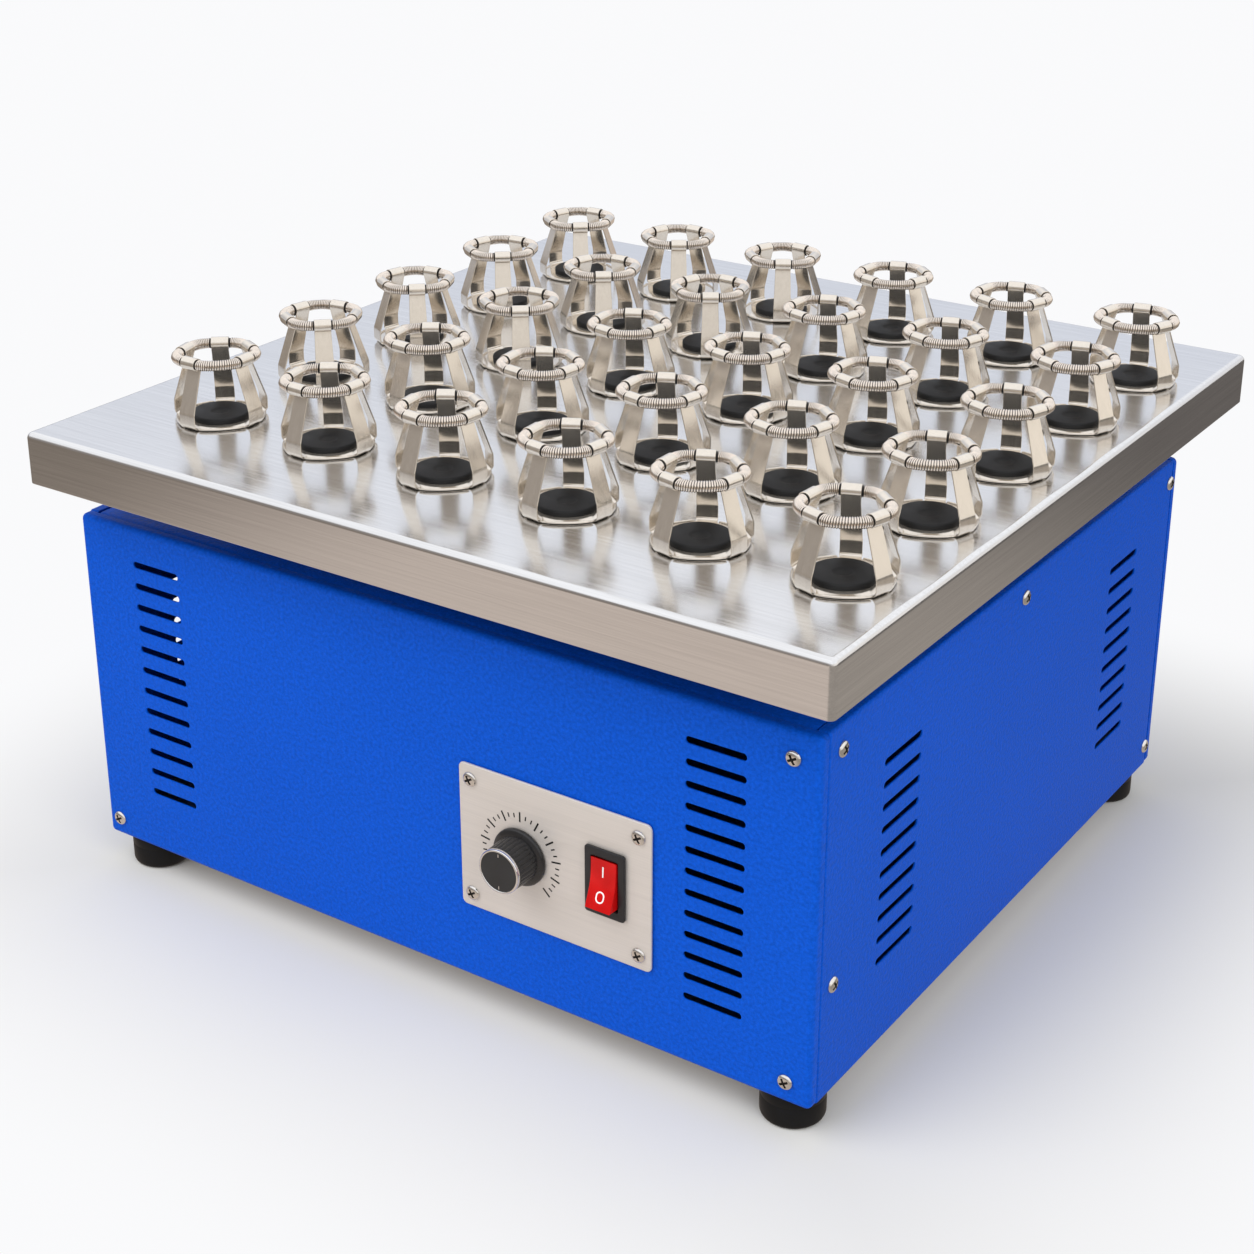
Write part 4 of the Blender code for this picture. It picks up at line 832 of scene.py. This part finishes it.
def make_feet():
    """Four moulded rubber feet."""
    profile = [(0, 24.0), (19.6, 24.0), (20.2, 23.6), (20.5, 22.8), (20.5, 16.0), (20.35, 15.6),
               (20.35, 15.0), (20.5, 14.6), (20.5, 4.0), (20.3, 2.6), (19.7, 1.3), (18.6, 0.4),
               (17.2, 0.0), (9.0, 0.0), (8.5, 0.6), (8.0, 2.5), (0, 2.5)]
    mesh = lathe(metres(profile), 72)
    mesh.materials.append(FOOT_RUBBER)
    across = CABINET_WIDTH / 2 - FOOT_INSET
    along = CABINET_DEPTH / 2 - FOOT_INSET
    for number, (x, y) in enumerate(((-1, -1), (1, -1), (1, 1), (-1, 1)), 1):
        place = MIDDLE + Vector((x * across, y * along, 0))
        made = link("moulded_foot_%d" % number, mesh, place)
        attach(made, "cabinet")
        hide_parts("foot_%d" % number)


# Controls

def make_control_plate():
    """The brushed plate with its bevelled rim, and the dial's ticks on it."""
    outlines = [rounded(0.144, 0.102, 0.004, steps=8), knob_bore(*KNOB_SHIFT),
                switch_opening(*SWITCH_SHIFT)]
    mesh = plate(outlines, PLATE_SHEET, 0.0009, 3)
    mesh.materials.append(PLATE_METAL)
    place = (PLATE_X, PLATE_FACE + PLATE_SHEET / 2, PLATE_Z)
    made = link("brushed_control_plate", mesh, place, UPRIGHT_FRONT)
    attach(made, "cabinet")
    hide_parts("control_plate")
    ticks = []
    for step in range(31):
        major = step % 3 == 0
        inner, outer, width = (24.0, 31.0, 1.15) if major else (26.4, 29.4, 0.90)
        bar = cube(((outer - inner) * MM, width * MM, 0.00012), ((outer + inner) / 2 * MM, 0, 0))
        ticks.append((moved(bar, turn=(0, 0, math.radians(225 - 9 * step))), 0))
    mesh = joined(ticks, [DIAL_INK], "dial_ticks")
    made = link("dial_ticks", mesh, (KNOB_X, PLATE_FACE, KNOB_Z), UPRIGHT_FRONT)
    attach(made, "cabinet")


def fluted_body():
    """The knob's grip between its skirt and its cap, with rounded flutes."""
    shape = bmesh.new()
    count = 30
    steps = 6
    levels = ((3.0, 15.7, 0.0), (4.0, 15.55, 0.55), (6.0, 15.4, 0.6), (18.8, 14.9, 0.6),
              (19.6, 14.8, 0.45), (20.4, 14.5, 0.0))
    rings = []
    for height, radius, depth in levels:
        ring = []
        for step in range(count * steps):
            turn = math.tau * step / (count * steps)
            dip = max(0.0, math.cos(turn * count)) ** 1.5
            reach = (radius - depth * dip) * MM
            spot = (reach * math.cos(turn), reach * math.sin(turn), height * MM)
            ring.append(shape.verts.new(spot))
        rings.append(ring)
    return skinned(shape, rings, 50)


def make_knob():
    """The speed knob: skirt, fluted grip, bright ring and cap with its pointer marks."""
    skirt = [(0, 0), (19.1, 0), (19.5, 0.35), (19.5, 1.4), (19.2, 2.1), (18.3, 2.7), (17.0, 3.1),
             (16.0, 3.6), (0, 3.6)]
    ring = [(14.0, 19.6), (14.75, 19.7), (14.95, 20.1), (15.0, 21.0), (14.9, 21.8), (14.5, 22.3),
            (14.0, 22.5), (13.6, 22.35), (13.45, 22.0), (13.4, 21.2)]
    cap = [(13.5, 20.7), (13.5, 21.85), (13.3, 22.0), (8.4, 22.06), (0, 22.08)]
    shaft = [(0, -12), (3, -12), (3, 1), (0, 1)]
    pieces = [(lathe(metres(skirt), 96), 0), (fluted_body(), 0), (lathe(metres(ring), 96, 60), 1),
              (lathe(metres(cap), 96), 2), (lathe(metres(shaft), 24), 0)]
    for side in (-1, 1):
        pieces.append((cube((0.0005, 0.0022, 0.00010), (0, side * 0.0112, 0.02208)), 3))
    mesh = joined(pieces, [KNOB_GLOSS, CHROME, KNOB_CAP, CHROME], "knob")
    made = link("fluted_knob", mesh, (KNOB_X, PLATE_FACE - 0.0005, KNOB_Z), UPRIGHT_FRONT)
    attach(made, "knob")
    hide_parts("speed_knob")


def make_switch():
    """The rocker switch: bezel with its body, and the rocker with its two marks."""
    rim = [rounded(0.029, 0.046, 0.002, steps=6), rounded(0.0197, 0.0346, 0.0006, steps=2)]
    body = [rounded(0.0250, 0.0416, 0.0008, steps=2), rounded(0.0220, 0.0386, 0.0006, steps=2)]
    pieces = [(plate(rim, BEZEL_SHEET, 0.0006, 3), 0),
              (moved(plate(body, 0.0120), (0, 0, -0.0071)), 0),
              (cube((0.0250, 0.0416, 0.0080), (0, 0, -0.0170)), 0)]
    for x in (-1, 1):
        pieces.append((cube((0.0048, 0.0008, 0.0080), (x * 0.0065, 0, -0.0245)), 1))
    mesh = joined(pieces, [BEZEL_BLACK, BRASS], "bezel")
    place = (SWITCH_X, SWITCH_FACE + BEZEL_SHEET / 2, SWITCH_Z)
    made = link("switch_frame", mesh, place, UPRIGHT_FRONT)
    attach(made, "cabinet")
    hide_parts("switch_bezel")
    half = 16.2
    middle = -3.0
    dish = 2.4
    power = 1.6
    outline = []
    for step in range(17):
        y = half - half * 2 * step / 16
        outline.append((middle - dish * (abs(y) / half) ** power, y))
    outline += [(3.0, -15.0), (4.0, -13.6), (4.0, 13.6), (3.0, 15.0)]
    pieces = [(plate([metres(outline)], 0.0184, 0.0005, 3), 0)]
    lean = math.atan(dish * power * 0.5 ** (power - 1) / half)
    depth = middle - dish * 0.5 ** power - 0.12
    bar = cube((0.0002, 0.0070, 0.0009))
    pieces.append((moved(bar, (depth * MM, half / 2 * MM, 0), (0, 0, lean)), 1))
    letter = plate([rounded(0.0060, 0.0074, 0.0029, steps=8),
                    rounded(0.0043, 0.0057, 0.0021, steps=8)], 0.0002)
    letter = moved(letter, turn=(0, -math.pi / 2, 0))
    pieces.append((moved(letter, (depth * MM, -half / 2 * MM, 0), (0, 0, -lean)), 1))
    mesh = joined(pieces, [RED, MARK_WHITE], "rocker")
    upright = Euler((math.pi / 2, 0, math.pi / 2)).to_matrix()
    pressed = Matrix.Rotation(math.radians(-12), 3, "X")
    made = link("marked_rocker", mesh, (SWITCH_X, SWITCH_FACE + 0.001, SWITCH_Z),
                (pressed @ upright).to_euler())
    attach(made, "rocker")
    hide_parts("switch_rocker")


def make_inlet():
    """The mains inlet with its flange, shaped recess, pins and screws."""
    x, y, cut = 12.1, 8.4, 4.5
    recess = metres([(-x, -y), (x, -y), (x, y - cut), (x - cut, y), (-x + cut, y), (-x, y - cut)])
    flange = plate([rounded(0.048, 0.028, 0.004, steps=6), recess], 0.003, 0.0005, 3)
    walls = plate([rounded(0.0275, 0.0205, 0.0008, steps=2), recess], 0.0150)
    pieces = [(flange, 0), (moved(walls, (0, 0, -0.0088)), 0),
              (cube((0.0275, 0.0205, 0.0100), (0, 0, -0.0210)), 0)]
    for step in (-1, 0, 1):
        rise = 0.002 if step == 0 else -0.002
        pieces.append((cube((0.002, 0.004, 0.0150), (step * 0.007, rise, -0.0083), 0.0004), 1))
    screw = screw_mesh(0.0022, 0.0012)
    for side in (-1, 1):
        pieces.append((moved(screw.copy(), (side * 0.0203, 0, 0.0015)), 2))
    mesh = joined(pieces, [BEZEL_BLACK, BRASS, SCREW_STEEL], "inlet")
    place = (MIDDLE.x - INLET_X, REAR_FACE + 0.0018, CABINET_BOTTOM + INLET_Z)
    made = link("moulded_inlet", mesh, place, UPRIGHT_REAR)
    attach(made, "cabinet")
    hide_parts("mains_inlet")


# Carried-over nodes

def dress(node, material):
    """Shades a node smooth over its round faces and gives it a material."""
    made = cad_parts[node]
    mesh = made.data
    if "custom_normal" in mesh.attributes:
        mesh.attributes.remove(mesh.attributes["custom_normal"])
    for face in mesh.polygons:
        face.use_smooth = True
    weld = made.modifiers.new("weld", "WELD")
    weld.merge_threshold = 0.00001
    split = made.modifiers.new("edges", "EDGE_SPLIT")
    split.split_angle = math.radians(35)
    if made.material_slots:
        for slot in made.material_slots:
            slot.material = material
    else:
        mesh.materials.append(material)


def dress_nodes():
    """Materials of the nodes that stay as they are."""
    looks = {
        "deck": BLUE, "base_pan": ZINC, "motor_plate": ZINC, "carriage": ALUMINIUM,
        "drive_pulley": ALUMINIUM, "motor_pulley": ALUMINIUM, "main_crank": TURNED_STEEL,
        "main_bearing_housing": CAST_IRON, "counterweight": CAST_IRON, "motor": DARK_PAINT,
        "speed_controller": DARK_PAINT, "belt": BELT_RUBBER}
    for number in range(1, 5):
        looks["idler_crank_%d" % number] = TURNED_STEEL
    for node, material in looks.items():
        dress(node, material)


# Studio

class Studio(Look):
    """Look's short ways to add nodes, for the world."""

    def __init__(self, tree):
        self.tree = tree
        self.height = None


def ray(look, kind):
    """One of the Light Path node's outputs."""
    return look.node("ShaderNodeLightPath").outputs[kind]


def dot(look, vector, direction):
    """How far a vector points in a direction."""
    made = look.node("ShaderNodeVectorMath", operation="DOT_PRODUCT")
    look.wire(vector, made.inputs[0])
    made.inputs[1].default_value = direction
    return made.outputs["Value"]


def eased(look, value, start, end):
    """A value eased from 0 at start to 1 at end."""
    made = look.node("ShaderNodeMapRange", interpolation_type="SMOOTHSTEP")
    look.wire(value, made.inputs["Value"])
    made.inputs["From Min"].default_value = start
    made.inputs["From Max"].default_value = end
    return made.outputs["Result"]


def make_world():
    """White behind everything, even soft light, and a shaded studio for metal to mirror."""
    world = bpy.data.worlds.new("studio")
    bpy.context.scene.world = world
    world.use_nodes = True
    look = Studio(world.node_tree)
    shader = look.tree.nodes["Background"]
    direction = look.node("ShaderNodeTexCoord").outputs["Generated"]
    height = dot(look, direction, (0, 0, 1))
    right = dot(look, direction, (0.83, 0.56, 0.0))
    behind = dot(look, direction, (-0.56, 0.83, 0.0))
    low = look.blend(eased(look, right, -0.7, 0.7), (0.30, 0.27, 0.25), (1.05, 1.00, 0.94))
    low = look.blend(eased(look, behind, 0.2, 0.9), low, (0.74, 0.78, 0.88))
    studio = look.blend(eased(look, height, 0.24, 0.52), low, (1.16, 1.17, 1.20))
    seen = look.blend(ray(look, "Is Glossy Ray"), (0.62, 0.625, 0.63), studio)
    share = eased(look, height, -0.1, 0.5)
    backdrop = look.blend(share, (0.965, 0.967, 0.972), (0.915, 0.915, 0.92))
    colour = look.blend(ray(look, "Is Camera Ray"), seen, backdrop)
    look.wire(colour, shader.inputs["Color"])
    shader.inputs["Strength"].default_value = 1.0


def make_floor():
    """A pale floor that fades to white away from the cabinet, greyer near it as painted shade
    besides its real shadow, and glows with painted shade in metal.
    """
    mesh = bpy.data.meshes.new("floor")
    far = FLOOR_REACH
    corners = [(-far, -far, 0), (far, -far, 0), (far, far, 0), (-far, far, 0)]
    mesh.from_pydata(corners, [], [(0, 1, 2, 3)])
    floor = link("floor", mesh)
    look = Look("floor_white", (0.76, 0.75, 0.72), 0.7, 0.0, Specular_IOR_Level=0.0)
    cloud = look.noise(3, 2, 0.5)
    look.colour(look.blend(look.spread(cloud, 0, 1), (0.755, 0.745, 0.715), (0.77, 0.76, 0.73)))
    apart = look.node("ShaderNodeSeparateXYZ")
    look.wire(look.place, apart.inputs[0])
    past_x = look.math("SUBTRACT", look.math("ABSOLUTE", apart.outputs["X"]), CABINET_WIDTH / 2)
    past_y = look.math("SUBTRACT", look.math("ABSOLUTE", apart.outputs["Y"]), CABINET_DEPTH / 2)
    # Near the cabinet's footprint the floor is its grey diffuse, with its real shadow and painted
    # shade; further off it turns to white emission.
    away = eased(look, look.math("MAXIMUM", past_x, past_y), -0.03, 0.30)
    white = look.node("ShaderNodeEmission")
    white.inputs["Color"].default_value = (0.955, 0.957, 0.97, 1)
    # Seen in metal the floor glows with painted shade: brown-grey in front, darker far to the left,
    # and on the right darker towards the back, which paints the reflections in the tray's sides.
    mirrored = look.node("ShaderNodeEmission")
    left = dot(look, look.place, (-1, 0, 0))
    back = dot(look, look.place, (0, 1, 0))
    right = dot(look, look.place, (1, 0, 0))
    front = look.blend(eased(look, left, 0.40, 0.95), (0.66, 0.56, 0.49), (0.25, 0.21, 0.175))
    side = look.blend(eased(look, back, 0.3, 1.0), (0.37, 0.33, 0.29), (0.15, 0.135, 0.125))
    shade = look.blend(eased(look, right, 0.1, 0.5), front, side)
    look.wire(shade, mirrored.inputs["Color"])
    first = look.node("ShaderNodeMixShader")
    look.wire(look.math("MULTIPLY", away, ray(look, "Is Camera Ray")), first.inputs[0])
    look.wire(look.shader.outputs[0], first.inputs[1])
    look.wire(white.outputs[0], first.inputs[2])
    second = look.node("ShaderNodeMixShader")
    look.wire(ray(look, "Is Glossy Ray"), second.inputs[0])
    look.wire(first.outputs[0], second.inputs[1])
    look.wire(mirrored.outputs[0], second.inputs[2])
    look.wire(second.outputs[0], look.tree.nodes["Material Output"].inputs["Surface"])
    mesh.materials.append(look.material)


def make_light(name, place, size, power):
    """A soft square lamp that looks at the object and doesn't show in metal."""
    lamp = bpy.data.lights.new(name, "AREA")
    lamp.shape = "SQUARE"
    lamp.size = size
    lamp.energy = power
    made = bpy.data.objects.new(name, lamp)
    made.location = place
    away = Vector(place) - Vector(LAMP_TARGET)
    made.rotation_euler = away.to_track_quat("Z", "Y").to_euler()
    made.visible_glossy = False
    bpy.context.scene.collection.objects.link(made)


def make_camera():
    """The camera at the photograph's angle."""
    turn = math.radians(CAMERA_TURN)
    lift = math.radians(CAMERA_LIFT)
    level = math.cos(lift)
    back = Vector((math.sin(turn) * level, -math.cos(turn) * level, math.sin(lift)))
    aside = Vector((math.cos(turn), math.sin(turn), 0))
    target = aside * TARGET_SIDE + Vector((0, 0, TARGET_HEIGHT))
    camera = bpy.data.cameras.new("camera")
    camera.sensor_width = SENSOR_WIDTH
    camera.lens = FOCAL_PIXELS * SENSOR_WIDTH / IMAGE_SIZE
    camera.shift_y = SHIFT_PIXELS / IMAGE_SIZE
    made = bpy.data.objects.new("camera", camera)
    made.location = target + back * CAMERA_DISTANCE
    made.rotation_euler = (-back).to_track_quat("-Z", "Y").to_euler()
    bpy.context.scene.collection.objects.link(made)
    bpy.context.scene.camera = made


make_camera()
make_tray()
make_clamps()
make_panels()
make_screws()
make_feet()
make_control_plate()
make_knob()
make_switch()
make_inlet()
dress_nodes()
make_world()
make_floor()
make_light("key", (-1.4, -2.6, 3.0), 3.2, 92)
make_light("fill", (2.8, -1.2, 2.2), 2.4, 44)
bpy.context.scene.view_settings.view_transform = "Standard"
